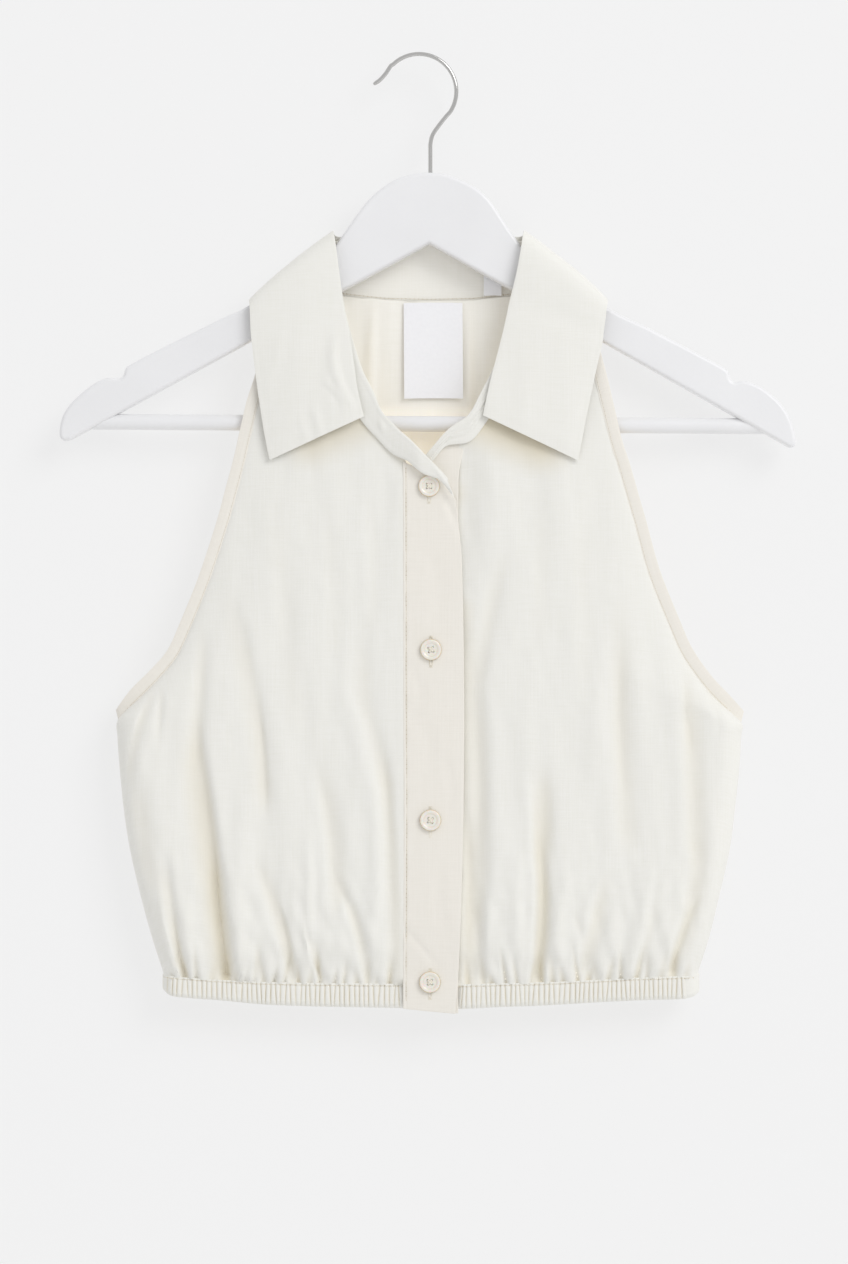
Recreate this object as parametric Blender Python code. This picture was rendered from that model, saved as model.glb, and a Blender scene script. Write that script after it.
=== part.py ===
"""A sleeveless crop top with a shirt collar and an elasticated hem, on a painted wooden hanger.

The origin is the inside of the hook's arc, where the hanger bears on a rail. +X is to the right as
the front is looked at, +Y runs to the back and +Z up. All sizes below are in millimetres.
"""

import math

import bmesh
import bpy
from mathutils import Vector

MM = 0.001

# Driving sizes
CENTRE = 6.3            # x of the hanger's and the garment's middle
WALL = 1.2              # one ply of cloth, as a wall
COLLAR_WALL = 1.2
BINDING_WALL = 1.8
PLACKET_WALL = 2.4
UNDER_WALL = 2.0
TAPE_WALL = 1.0
GAP = 0.3               # between two pieces that are sewn together
SEAM_DEPTH = 0.15       # of each piece from the middle plane, at a seam on it
HANGER_THICK = 13.0
HANGER_ROUND = 1.8      # rounding of the wood's long edges
BAR_DIAMETER = 9.5
WIRE = 2.5              # diameter of the hook's wire
HOOK_RADIUS = 22.3      # of the arc's centre line
BUTTON_DIAMETER = 12.8
BUTTON_THICK = 2.6
BUTTON_HOLE = 1.7
BUTTON_HOLE_SPACING = 2.9
RIB_HEIGHT = 1.1
RIB_END_SHARE = 0.5     # height of a rib at the channel's edges
RIB_FREE = 6.0          # no ribs this near to the side seams
RIBS_RIGHT = 44         # ribs of the gathered hem on the right front
RIBS_LEFT = 44
RIBS_BACK = 90

# Edge of the armholes: where the cloth ends, and where the binding's stitching runs.
# Columns: x_edge, z_edge, x_stitch, z_stitch
ARMHOLE_RIGHT = (
    (-87.5, -137.5, -80.9, -132.9),
    (-91.1, -157.0, -83.9, -158.4),
    (-94.1, -174.9, -86.8, -176.2),
    (-97.6, -190.9, -90.4, -193.0),
    (-102.4, -205.8, -95.3, -208.0),
    (-106.6, -223.7, -99.4, -225.4),
    (-110.7, -241.6, -103.5, -243.2),
    (-115.5, -259.4, -108.2, -261.6),
    (-120.3, -277.3, -113.2, -279.6),
    (-131.0, -310.0, -124.0, -312.6),
    (-142.3, -338.0, -135.6, -341.6),
    (-150.0, -354.7, -143.8, -358.8),
    (-160.2, -366.6, -154.8, -372.2),
    (-172.1, -378.5, -167.4, -384.8),
    (-181.0, -390.4, -179.6, -396.0),
)
ARMHOLE_LEFT = (
    (100.0, -137.5, 93.4, -132.9),
    (103.4, -157.0, 96.2, -158.4),
    (107.9, -176.1, 100.7, -178.0),
    (112.5, -193.9, 105.2, -196.0),
    (116.7, -211.8, 109.4, -213.6),
    (120.9, -229.6, 113.9, -231.8),
    (125.6, -244.0, 118.4, -246.2),
    (131.2, -263.5, 123.9, -265.4),
    (135.2, -277.3, 128.0, -279.5),
    (143.5, -307.0, 136.3, -309.5),
    (155.4, -336.8, 148.5, -340.3),
    (163.0, -353.8, 156.6, -358.2),
    (174.5, -370.2, 168.8, -375.5),
    (184.5, -380.8, 179.4, -387.0),
    (194.0, -391.2, 192.4, -397.8),
)

# Side seams below the armholes.
# Columns: z, x_right, x_left
SIDE_SEAMS = (
    (-407.0, -180.0, 192.4),
    (-426.0, -178.6, 191.2),
    (-450.0, -176.2, 188.6),
    (-474.0, -172.6, 185.6),
    (-503.5, -166.1, 179.3),
    (-530.3, -159.0, 172.9),
    (-552.0, -152.0, 166.0),
)

# Neck seam of each front, by the height of the armhole point that lies level with it in the grid.
# Columns: z_side, x, z
NECK_RIGHT = (
    (-132.9, -72.0, -126.4),
    (-141.8, -71.2, -133.5),
    (-159.2, -70.3, -143.0),
    (-176.4, -67.3, -157.5),
    (-193.5, -59.8, -177.3),
    (-210.1, -44.0, -203.5),
    (-227.1, -29.5, -224.0),
    (-244.1, -10.4, -241.2),
    (-261.0, -9.8, -259.4),
    (-277.8, -9.8, -277.8),
)
NECK_LEFT = (
    (-132.9, 84.6, -126.4),
    (-141.7, 83.8, -133.5),
    (-159.2, 82.6, -143.0),
    (-178.2, 78.6, -158.5),
    (-196.5, 71.8, -177.3),
    (-215.9, 57.0, -202.5),
    (-233.3, 42.0, -218.5),
    (-247.1, 29.4, -231.2),
    (-264.9, 25.2, -256.0),
    (-278.0, 24.4, -278.0),
)

# Neck seam of the back, with the shoulder points at its ends.
# Columns: x, y, z
BACK_TOP = (
    (-80.6, 0.15, -132.9),
    (-72.0, 0.15, -126.4),
    (-70.6, 6.8, -127.0),
    (-66.0, 8.8, -134.0),
    (-45.3, 9.4, -142.6),
    (-20.0, 9.6, -145.4),
    (6.3, 9.6, -146.0),
    (32.6, 9.6, -145.4),
    (57.9, 9.4, -142.6),
    (78.6, 8.8, -134.0),
    (83.2, 6.8, -127.0),
    (84.6, 0.15, -126.4),
    (93.1, 0.15, -132.9),
)

# How far the cloth's outer face stands from the hanger's middle plane.
# Columns: z, front, back, armhole
DEPTHS = (
    (-126.0, 8.7, 8.9, 8.7),
    (-160.0, 9.4, 9.8, 8.8),
    (-200.0, 10.4, 10.6, 8.4),
    (-250.0, 11.4, 11.4, 7.6),
    (-310.0, 12.6, 12.2, 6.6),
    (-360.0, 13.4, 12.8, 5.2),
    (-400.0, 14.0, 13.2, 4.0),
    (-450.0, 14.6, 14.0, 4.0),
    (-500.0, 15.6, 15.2, 4.0),
    (-532.0, 15.0, 14.8, 4.0),
    (-546.0, 11.6, 11.6, 4.0),
    (-556.0, 9.6, 9.6, 4.0),
)

# Hem channel: its upper seam and lower edge.
# Columns: x, z_top, z_bottom
HEM = (
    (-153.0, -548.0, -556.8),
    (-148.3, -548.6, -560.3),
    (-136.3, -549.6, -561.9),
    (-118.5, -550.8, -563.2),
    (-94.7, -551.9, -565.5),
    (-70.9, -552.5, -566.6),
    (-11.3, -553.1, -567.8),
    (24.4, -553.4, -568.4),
    (48.2, -552.8, -567.2),
    (72.0, -552.3, -566.4),
    (107.8, -550.7, -564.3),
    (131.6, -549.4, -563.2),
    (155.0, -548.6, -562.5),
    (163.1, -548.3, -561.3),
    (167.4, -548.0, -558.4),
)
HEM_DEPTH = 9.0         # of the channel's outer face, from the middle plane
HEM_WALL = 1.4
HEM_ROUND = 9.0         # how far in from the side seam the channel rounds

# Folds: three points of the fold's line, how deep it is and its half width. A minus depth is a ridge.
# Columns: x1, z1, x2, z2, x3, z3, depth, half_width
FRONT_FOLDS = (
    (-113, -312, -98, -375, -90, -450, 2.6, 8),
    (-130, -330, -127, -400, -117, -553, 6.5, 7),
    (-117, -420, -108, -500, -104, -553, -2.6, 7),
    (-157, -378, -165, -395, -178, -445, 2.6, 6),
    (-151, -478, -148, -505, -138, -553, 4.2, 6),
    (-94, -490, -82, -520, -76, -553, 4.6, 7),
    (-65, -470, -67, -520, -66, -548, -2.8, 6),
    (-60, -515, -59, -535, -57, -553, 4.4, 4),
    (-47, -498, -36, -525, -33, -553, 4.4, 6),
    (-31, -345, -22, -425, -14, -553, 4.4, 7),
    (-47, -380, -40, -402, -36, -420, -2.2, 8),
    (30, -378, 34, -440, 32, -553, 3.6, 6),
    (55, -252, 47, -315, 34, -378, 2.4, 7),
    (70, -425, 75, -490, 71, -553, 6.2, 7),
    (88, -450, 87, -500, 84, -548, -2.6, 7),
    (120, -318, 121, -400, 127, -480, 2.8, 10),
    (160, -370, 169, -470, 152, -553, 4.6, 9),
    (112, -488, 100, -525, 103, -553, 4.8, 7),
    (140, -470, 131, -520, 124, -548, -2.6, 7),
)
BACK_FOLDS = (
    (-140, -400, -134, -470, -128, -553, 5.0, 8),
    (-100, -330, -96, -440, -92, -553, 3.4, 9),
    (-60, -440, -66, -500, -62, -553, 4.8, 7),
    (-24, -300, -30, -420, -26, -553, 3.0, 9),
    (12, -460, 8, -510, 12, -553, 4.6, 7),
    (46, -350, 52, -450, 48, -553, 3.8, 8),
    (86, -450, 82, -510, 86, -553, 5.0, 7),
    (118, -330, 122, -440, 120, -553, 3.2, 9),
    (154, -420, 152, -490, 146, -553, 4.8, 8),
)

# Collar stand, from the right front's end round the neck to the left front's end: seam and top edge.
# Columns: x_seam, y_seam, z_seam, x_top, y_top, z_top
STAND_RIGHT_FRONT = (
    (20.5, -16.6, -262.0, 16.5, -17.4, -253.0),
    (13.1, -17.2, -253.2, 8.9, -17.8, -245.1),
    (2.4, -17.0, -248.7, 0.6, -17.6, -235.6),
    (-6.5, -15.0, -241.2, -5.0, -16.4, -229.6),
    (-15.5, -12.6, -236.8, -13.0, -15.2, -222.5),
    (-25.0, -11.8, -227.2, -22.0, -14.0, -212.5),
    (-33.8, -11.4, -217.2, -27.0, -13.0, -201.0),
    (-48.2, -11.0, -196.2, -34.0, -12.0, -187.0),
    (-59.2, -10.7, -176.0, -40.0, -11.2, -168.0),
    (-66.4, -10.4, -156.4, -45.5, -10.6, -146.0),
    (-70.0, -10.0, -142.0, -48.6, -10.2, -127.0),
    (-71.4, -7.6, -129.6, -50.2, -7.8, -112.6),
    (-71.7, 0.0, -126.6, -50.6, 0.0, -109.4),
    (-70.3, 7.0, -127.6, -50.0, 7.2, -110.4),
    (-65.7, 9.6, -133.6, -47.5, 9.8, -110.0),
    (-45.0, 10.4, -142.2, -36.0, 10.2, -108.6),
    (-19.9, 10.6, -145.0, -16.0, 10.3, -107.6),
)
STAND_LEFT_FRONT = (
    (59.2, -11.0, -196.6, 43.8, -12.0, -188.0),
    (45.0, -11.4, -214.2, 37.0, -13.0, -201.0),
    (29.6, -11.6, -230.2, 30.0, -13.2, -213.5),
    (15.5, -11.4, -230.2, 18.5, -12.8, -222.0),
    (7.0, -11.2, -241.2, 4.4, -11.8, -238.4),
)
STAND_SHARED = 9        # rows of the right front that the left side repeats, mirrored

# Collar fall, in the same order: roll line and outer edge.
# Columns: x_roll, y_roll, z_roll, x_out, y_out, z_out
FALL_RIGHT = (
    (-32.7, -15.8, -216.0, -88.5, -13.4, -241.8),
    (-34.8, -15.6, -207.0, -90.3, -13.4, -234.0),
    (-36.9, -15.2, -197.0, -93.2, -13.2, -218.0),
    (-38.6, -14.6, -184.0, -96.5, -13.0, -195.0),
    (-41.1, -13.8, -167.0, -98.6, -12.8, -178.0),
    (-44.1, -13.0, -152.0, -99.9, -12.5, -166.0),
    (-47.0, -12.4, -133.0, -100.3, -12.2, -157.0),
    (-49.0, -11.6, -117.0, -100.5, -11.4, -150.8),
    (-50.2, -8.6, -108.2, -100.6, -8.4, -147.6),
    (-50.6, 0.0, -105.0, -100.7, 0.0, -146.2),
    (-50.2, 8.6, -106.6, -100.4, 8.6, -148.4),
    (-48.0, 11.8, -107.2, -98.0, 11.8, -153.0),
    (-43.0, 12.6, -106.8, -84.0, 13.2, -157.0),
    (-30.0, 12.8, -106.0, -55.0, 13.8, -159.5),
    (-12.0, 12.8, -105.5, -22.0, 14.0, -160.5),
    (6.3, 12.8, -105.2, 6.3, 14.2, -160.8),
)
FALL_LEFT = (
    (24.6, 12.8, -105.5, 34.6, 14.0, -160.5),
    (42.6, 12.8, -106.0, 67.6, 13.8, -159.5),
    (55.0, 12.6, -106.8, 96.0, 13.2, -157.0),
    (60.0, 11.8, -107.2, 109.6, 11.8, -153.0),
    (62.0, 8.6, -106.6, 111.8, 8.6, -148.4),
    (62.2, 0.0, -105.0, 112.2, 0.0, -146.2),
    (61.6, -8.6, -108.2, 112.0, -8.4, -147.6),
    (60.4, -11.6, -117.0, 111.6, -11.4, -150.8),
    (57.8, -12.4, -131.4, 110.8, -12.2, -158.0),
    (54.0, -13.0, -147.0, 109.8, -12.5, -165.0),
    (51.2, -13.8, -160.0, 108.8, -12.8, -173.0),
    (47.0, -14.6, -177.0, 106.0, -13.0, -185.0),
    (43.3, -15.2, -191.0, 102.8, -13.2, -200.0),
    (40.5, -15.6, -203.0, 99.2, -13.4, -217.0),
    (38.0, -15.8, -215.4, 94.4, -13.4, -242.0),
)

# Placket: its left and free right edge, the depth of its face, and its rows.
# Columns: z, x_left, x_right
PLACKET_EDGES = (
    (-240.0, -9.6, 21.0),
    (-265.4, -9.5, 22.0),
    (-301.0, -9.4, 25.4),
    (-384.4, -9.3, 26.8),
    (-444.0, -9.0, 26.5),
    (-503.5, -9.2, 25.2),
    (-539.3, -9.4, 23.8),
    (-571.0, -9.4, 21.6),
)
# Columns: z, y
PLACKET_FACE = (
    (-230.0, -12.4),
    (-300.0, -13.6),
    (-360.0, -14.6),
    (-450.0, -15.8),
    (-500.0, -16.4),
    (-528.0, -15.4),
    (-543.0, -13.2),
    (-572.0, -12.6),
)
PLACKET_ROWS = (-268.0, -300.0, -330.0, -360.0, -405.0, -450.0, -500.0, -528.0, -543.0, -558.5)

# Curved ends of the placket and its under side.
# Columns: share of the width, z
PLACKET_TOP = ((0.0, -242.6), (0.2, -245.2), (0.4, -249.6), (0.7, -253.6), (0.85, -257.0), (1.0, -265.8))
PLACKET_BOTTOM = ((0.0, -567.8), (0.5, -569.4), (1.0, -570.8))
UNDER_TOP = ((0.0, -262.0), (0.3, -252.0), (0.5, -242.4), (0.7, -231.2), (1.0, -230.8))

# Under placket, behind the placket.
# Columns: z, x_left, x_right
UNDER_LEFT = -7.0
UNDER_EDGES = (
    (-230.0, UNDER_LEFT, 28.2),
    (-242.0, UNDER_LEFT, 25.0),
    (-256.0, UNDER_LEFT, 23.4),
    (-280.0, UNDER_LEFT, 23.4),
    (-571.0, UNDER_LEFT, 23.4),
)

# Columns: x, z
BUTTONS = ((6.0, -257.2), (7.1, -354.4), (6.8, -455.6), (6.5, -551.8))

# Hanger: the upper outline of each side from the head to the tip, and the straight lower edges.
HEAD_TOP = (6.5, -70.1)
HANGER_RIGHT_SIDE = (
    (-3.0, -70.8), (-11.3, -73.1), (-18.0, -76.6), (-23.2, -80.2), (-29.2, -85.6), (-35.1, -92.7),
    (-41.1, -101.2), (-50.0, -113.5), (-56.0, -118.3), (-100.6, -148.7), (-118.5, -157.6), (-154.2, -175.2),
    (-172.0, -184.6), (-175.0, -187.4), (-176.0, -190.8), (-178.8, -192.8), (-184.0, -192.2),
    (-189.9, -193.9), (-195.9, -197.5), (-201.8, -202.3), (-207.8, -208.2), (-212.0, -214.8),
    (-213.9, -221.5), (-214.0, -227.4), (-211.6, -229.8), (-207.6, -229.2),
)
HANGER_LEFT_SIDE = (
    (16.0, -71.2), (24.4, -74.2), (30.8, -77.4), (36.3, -80.8), (42.3, -86.7), (48.2, -95.2),
    (54.2, -104.4), (60.1, -112.4), (66.0, -117.6), (111.3, -149.9), (137.5, -163.0), (167.3, -178.6),
    (182.0, -186.6), (184.6, -189.4), (185.6, -193.0), (188.4, -195.2), (194.1, -194.2),
    (203.0, -197.5), (209.0, -201.7), (214.9, -207.0), (219.7, -213.6), (222.9, -221.5),
    (224.5, -229.0), (224.2, -232.6), (221.4, -233.9), (217.2, -231.7),
)
HANGER_UNDER = (6.3, -112.4)        # where the two lower edges meet
BAR_ENDS = ((-183.0, -218.4), (195.0, -221.0))

# The hook's wire from its foot up to the end of its tail.
HOOK_SHAFT = ((6.8, -69.8), (6.8, -60.0), (6.8, -52.0))
HOOK_NECK = ((8.2, -46.8), (12.6, -40.6), (17.4, -34.0))
HOOK_TAIL = ((-16.6, -5.4), (-19.6, -10.4), (-23.4, -14.4), (-27.6, -17.2))
HOOK_CENTRE = (0.0, -21.1)
HOOK_ANGLES = (-36, 137)            # where the arc starts and ends, in degrees

# Columns and rows of the cloth grids.
FRONT_COLUMNS_PLAIN = 17
BACK_COLUMNS_PLAIN = 26
EDGE_STEPS = (0.0, 0.5, 2.0, 5.0, 10.0)      # distance of the last columns from the side edge
SIDE_ROUND = 15.0                             # how far in from the side seam the cloth rounds
ARMHOLE_ROUND = 60.0                          # and from the armhole, where it lies nearly flat
SEAM_TOP = -352.0                             # from here down the edge closes to the side seam
SEAM_RUN = 44.0
WAIST = -440.0                                # from here down the rows take up the hem's curve
HEM_RUN = 112.0
NECK_RUN = 90.0                               # rows of the back that follow its neck seam
FOLD_ABOVE = 8.0                              # a fold starts this far above its first point
FOLD_BELOW = 12.0                             # and ends this far below its last one
FOLD_RIM = 0.3                                # share of a fold's depth that stands up beside it
GATHER_LINE = -552.0                          # folds that reach it run into the hem
UNDERLAP = (24.0, 22.0, -225.0, 25.0)         # where the left front sinks under the placket
SHOULDER_ROUND = 9.0
UNDERARM_ROUND = 34.0
SHOULDER_STEPS = (0.0, 0.3, 1.3, 3.6, 9.0)    # distance of the first rows from the shoulder seam
ARMHOLE_ROW_SPACING = 17.0
SIDE_ROW_SPACING = 26.0


def clear_scene():
    for item in list(bpy.data.objects):
        bpy.data.objects.remove(item, do_unlink=True)


def new_collection(name):
    collection = bpy.data.collections.new(name)
    bpy.context.scene.collection.children.link(collection)
    return collection


def make_material(name, colour, roughness, metallic=0.0):
    material = bpy.data.materials.new(name)
    material.use_nodes = True
    shader = material.node_tree.nodes["Principled BSDF"]
    shader.inputs["Base Color"].default_value = (*colour, 1.0)
    shader.inputs["Roughness"].default_value = roughness
    shader.inputs["Metallic"].default_value = metallic
    return material


def between(table, key, column):
    """Smooth value of a column of the table, whose first column is the key."""
    rows = sorted(table)
    keys = [row[0] for row in rows]
    key = min(max(key, keys[0]), keys[-1])
    i = max(j for j in range(len(keys) - 1) if keys[j] <= key)

    def slope(j):
        a, b = max(j - 1, 0), min(j + 1, len(rows) - 1)
        return (rows[b][column] - rows[a][column]) / (keys[b] - keys[a])

    step = keys[i + 1] - keys[i]
    t = (key - keys[i]) / step
    start, end = rows[i][column], rows[i + 1][column]
    return (
        (2 * t**3 - 3 * t**2 + 1) * start
        + (t**3 - 2 * t**2 + t) * step * slope(i)
        + (3 * t**2 - 2 * t**3) * end
        + (t**3 - t**2) * step * slope(i + 1)
    )


def along(table, place):
    """Smooth row of the table at a place counted in rows."""
    place = min(max(place, 0.0), len(table) - 1.0)
    i = min(int(place), len(table) - 2)
    t = place - i
    before, start, end, after = (table[min(max(i + k, 0), len(table) - 1)] for k in (-1, 0, 1, 2))
    row = []
    for p0, p1, p2, p3 in zip(before, start, end, after):
        bend = t * (2 * p0 - 5 * p1 + 4 * p2 - p3) * t + t**3 * (3 * p1 - p0 - 3 * p2 + p3)
        row.append(p1 + 0.5 * (t * (p2 - p0) + bend))
    return row


def straight(table, key):
    """Straight-line value of the second column at a key in the first."""
    for (k0, v0), (k1, v1) in zip(table, table[1:]):
        if key <= k1:
            return v0 + (v1 - v0) * max(0.0, (key - k0) / (k1 - k0))
    return table[-1][1]


def soft_step(value):
    value = min(max(value, 0.0), 1.0)
    return value * value * (3 - 2 * value)


def rounded(distance, reach, power):
    """Share of the full depth at a distance from a folded edge, 0 at the edge and 1 past the reach."""
    if distance >= reach:
        return 1.0
    return (1 - (1 - distance / reach) ** power) ** (1 / power)


def fold_depth(folds, x, z):
    """How far the folds draw the cloth in at a point."""
    total = 0.0
    for x1, z1, x2, z2, x3, z3, depth, half_width in folds:
        if z > z1 + FOLD_ABOVE or z < z3 - FOLD_BELOW:
            continue
        line = ((z3, x3), (z2, x2), (z1, x1))
        across = (x - straight(line, min(max(z, z3), z1))) / half_width
        fade = soft_step((z1 + FOLD_ABOVE - z) / (0.3 * (z1 - z3) + FOLD_ABOVE))
        if z3 > GATHER_LINE:
            fade *= soft_step((z - z3 + FOLD_BELOW) / (2 * FOLD_BELOW))
        rim = FOLD_RIM * math.exp(-across * across / 5)
        total += depth * fade * (math.exp(-across * across) - rim)
    return total


def grid_normals(grid):
    """Unit normals of a grid of points, from the points next to each one."""
    rows, columns = len(grid), len(grid[0])
    normals = []
    for i in range(rows):
        line = []
        for j in range(columns):
            down = grid[min(i + 1, rows - 1)][j] - grid[max(i - 1, 0)][j]
            right = grid[i][min(j + 1, columns - 1)] - grid[i][max(j - 1, 0)]
            line.append(down.cross(right).normalized())
        normals.append(line)
    return normals


def offset_grid(grid, distance, flat_edges=()):
    """The grid moved inwards. At a flat edge, a seam on the middle plane, it keeps its y."""
    last = len(grid[0]) - 1
    moved = []
    for i, line in enumerate(grid_normals(grid)):
        new_line = []
        for j, normal in enumerate(line):
            at_flat_edge = (
                ("first_row" in flat_edges and i == 0)
                or ("last_column" in flat_edges and j == last)
                or ("first_column" in flat_edges and j == 0)
            )
            if at_flat_edge and abs(grid[i][j].y) < 1:
                normal = Vector((normal.x, 0.0, normal.z)).normalized()
            new_line.append(grid[i][j] - distance * normal)
        moved.append(new_line)
    return moved


def wall_object(name, outer, inner, material, collection):
    """A closed wall between two grids of points, the inner one of as many rows or of two."""
    mesh = bpy.data.meshes.new(name)
    shape = bmesh.new()
    rows, columns = len(outer), len(outer[0])
    front = [[shape.verts.new(p * MM) for p in line] for line in outer]
    rear = [[shape.verts.new(p * MM) for p in line] for line in inner]
    for j in range(columns - 1):
        for i in range(rows - 1):
            shape.faces.new((front[i][j], front[i + 1][j], front[i + 1][j + 1], front[i][j + 1]))
        for i in range(len(rear) - 1):
            shape.faces.new((rear[i][j], rear[i][j + 1], rear[i + 1][j + 1], rear[i + 1][j]))
    if len(rear) == rows:
        for i in range(rows - 1):
            shape.faces.new((front[i][0], rear[i][0], rear[i + 1][0], front[i + 1][0]))
            shape.faces.new((front[i][-1], front[i + 1][-1], rear[i + 1][-1], rear[i][-1]))
    else:
        shape.faces.new([line[0] for line in front] + [rear[-1][0], rear[0][0]])
        shape.faces.new([line[-1] for line in front] + [rear[-1][-1], rear[0][-1]])
    for j in range(columns - 1):
        shape.faces.new((front[0][j], front[0][j + 1], rear[0][j + 1], rear[0][j]))
        shape.faces.new((front[-1][j], rear[-1][j], rear[-1][j + 1], front[-1][j + 1]))
    bmesh.ops.recalc_face_normals(shape, faces=shape.faces)
    shape.to_mesh(mesh)
    shape.free()
    return finish_object(name, mesh, material, collection)


def finish_object(name, mesh, material, collection):
    mesh.shade_smooth()
    mesh.set_sharp_from_angle(angle=math.radians(35))
    mesh.materials.append(material)
    item = bpy.data.objects.new(name, mesh)
    collection.objects.link(item)
    return item


def mesh_from_curve(name, curve, material, collection):
    """A curve's solid as a mesh object with its loose caps welded on."""
    guide = bpy.data.objects.new(name + "_curve", curve)
    collection.objects.link(guide)
    evaluated = guide.evaluated_get(bpy.context.evaluated_depsgraph_get())
    mesh = bpy.data.meshes.new_from_object(evaluated)
    shape = bmesh.new()
    shape.from_mesh(mesh)
    bmesh.ops.remove_doubles(shape, verts=shape.verts, dist=0.00001)
    bmesh.ops.recalc_face_normals(shape, faces=shape.faces)
    shape.to_mesh(mesh)
    shape.free()
    bpy.data.objects.remove(guide, do_unlink=True)
    mesh.name = name
    return finish_object(name, mesh, material, collection)


def front_depth(x, z):
    """Depth of a front's outer face away from its edges."""
    depth = between(DEPTHS, z, 1) - fold_depth(FRONT_FOLDS, x, z)
    if x > UNDER_LEFT:
        x_start, x_run, z_start, z_run = UNDERLAP
        under = 1 - soft_step((x - x_start) / x_run)
        depth -= (PLACKET_WALL + GAP) * under * soft_step((z_start - z) / z_run)
    return depth


def back_depth(x, z):
    return between(DEPTHS, z, 2) - fold_depth(BACK_FOLDS, x, z)


def outer_edge(side, place):
    """Point of a panel's outer edge, at a place counted in rows: armhole stitching, then side seam."""
    armhole = ARMHOLE_RIGHT if side < 0 else ARMHOLE_LEFT
    column = 1 if side < 0 else 2
    points = [(row[2], row[3]) for row in armhole]
    points += [(row[column], row[0]) for row in SIDE_SEAMS]
    x, z = along(points, place)
    underarm = len(armhole) - 1
    inward = 1.4 * GAP if place < underarm - 0.5 else 0.0
    down = 4 * GAP if abs(place - underarm) < 0.5 else 0.0
    return x - side * inward, z - down


def row_places():
    """Places and distances of the rows along the outer edge, close together near the shoulder seam."""
    length = 0.0
    last = outer_edge(-1, 0)
    measured = [(0.0, 0.0)]
    underarm = len(ARMHOLE_RIGHT) - 1
    total = underarm + len(SIDE_SEAMS)
    for step in range(1, total * 10 + 1):
        point = outer_edge(-1, step / 10)
        length += math.dist(last, point)
        last = point
        measured.append((length, step / 10))
    underarm_length = measured[underarm * 10][0]
    rows = list(SHOULDER_STEPS)
    for end, spacing in ((underarm_length, ARMHOLE_ROW_SPACING), (length, SIDE_ROW_SPACING)):
        start = rows[-1]
        count = round((end - start) / spacing)
        rows += [start + (end - start) * (i + 1) / count for i in range(count)]
    return [straight(measured, r) for r in rows], rows


def hem_shift(z):
    """How far down a row follows the hem's curve, from 0 at the waist to 1 at the channel."""
    return soft_step((WAIST - z) / HEM_RUN)


def front_panel(name, side, material, collection):
    neck = NECK_RIGHT if side < 0 else NECK_LEFT
    places, distances = row_places()
    bottom = outer_edge(side, places[-1])[1]
    outer = []
    for place, distance in zip(places, distances):
        x_out, z_out = outer_edge(side, place)
        if z_out > neck[-1][0]:
            x_in, z_in = between(neck, z_out, 1), between(neck, z_out, 2)
        else:
            x_in, z_in = neck[-1][1], z_out
        width = abs(x_out - x_in)
        steps = [min(1.0, width / ARMHOLE_ROUND) * s / width for s in reversed(EDGE_STEPS)]
        plain = 1 - steps[0]
        shares = [plain * i / FRONT_COLUMNS_PLAIN for i in range(FRONT_COLUMNS_PLAIN)]
        shares += [1 - s for s in steps]
        line = []
        for share in shares:
            x = x_in + share * (x_out - x_in)
            z = z_in + share * (z_out - z_in)
            z += hem_shift(z_out) * (between(HEM, x, 1) + GAP - bottom)
            line.append(Vector((x, -cloth_depth(front_depth, x, z, x_out, z_out, distance), z)))
        outer.append(line if side > 0 else line[::-1])
    flat = ("first_row", "last_column" if side > 0 else "first_column")
    wall_object(name, outer, offset_grid(outer, WALL, flat), material, collection)


def cloth_depth(depth_of, x, z, x_edge, z_edge, shoulder_distance):
    """Depth of a panel's outer face: full in the middle, less towards the armhole and the side seam."""
    edge = between(DEPTHS, z_edge, 3)
    from_edge = abs(x_edge - x)
    seam = soft_step((SEAM_TOP - z_edge) / SEAM_RUN)
    edge *= 1 - seam
    reach = ARMHOLE_ROUND + (SIDE_ROUND - ARMHOLE_ROUND) * seam
    closing = rounded(from_edge, reach, 2)
    middle = depth_of(x, z)
    depth = edge + (middle - edge) * closing
    depth = max(depth, SEAM_DEPTH)
    return max(SEAM_DEPTH, depth * rounded(shoulder_distance, SHOULDER_ROUND, 4))


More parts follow.
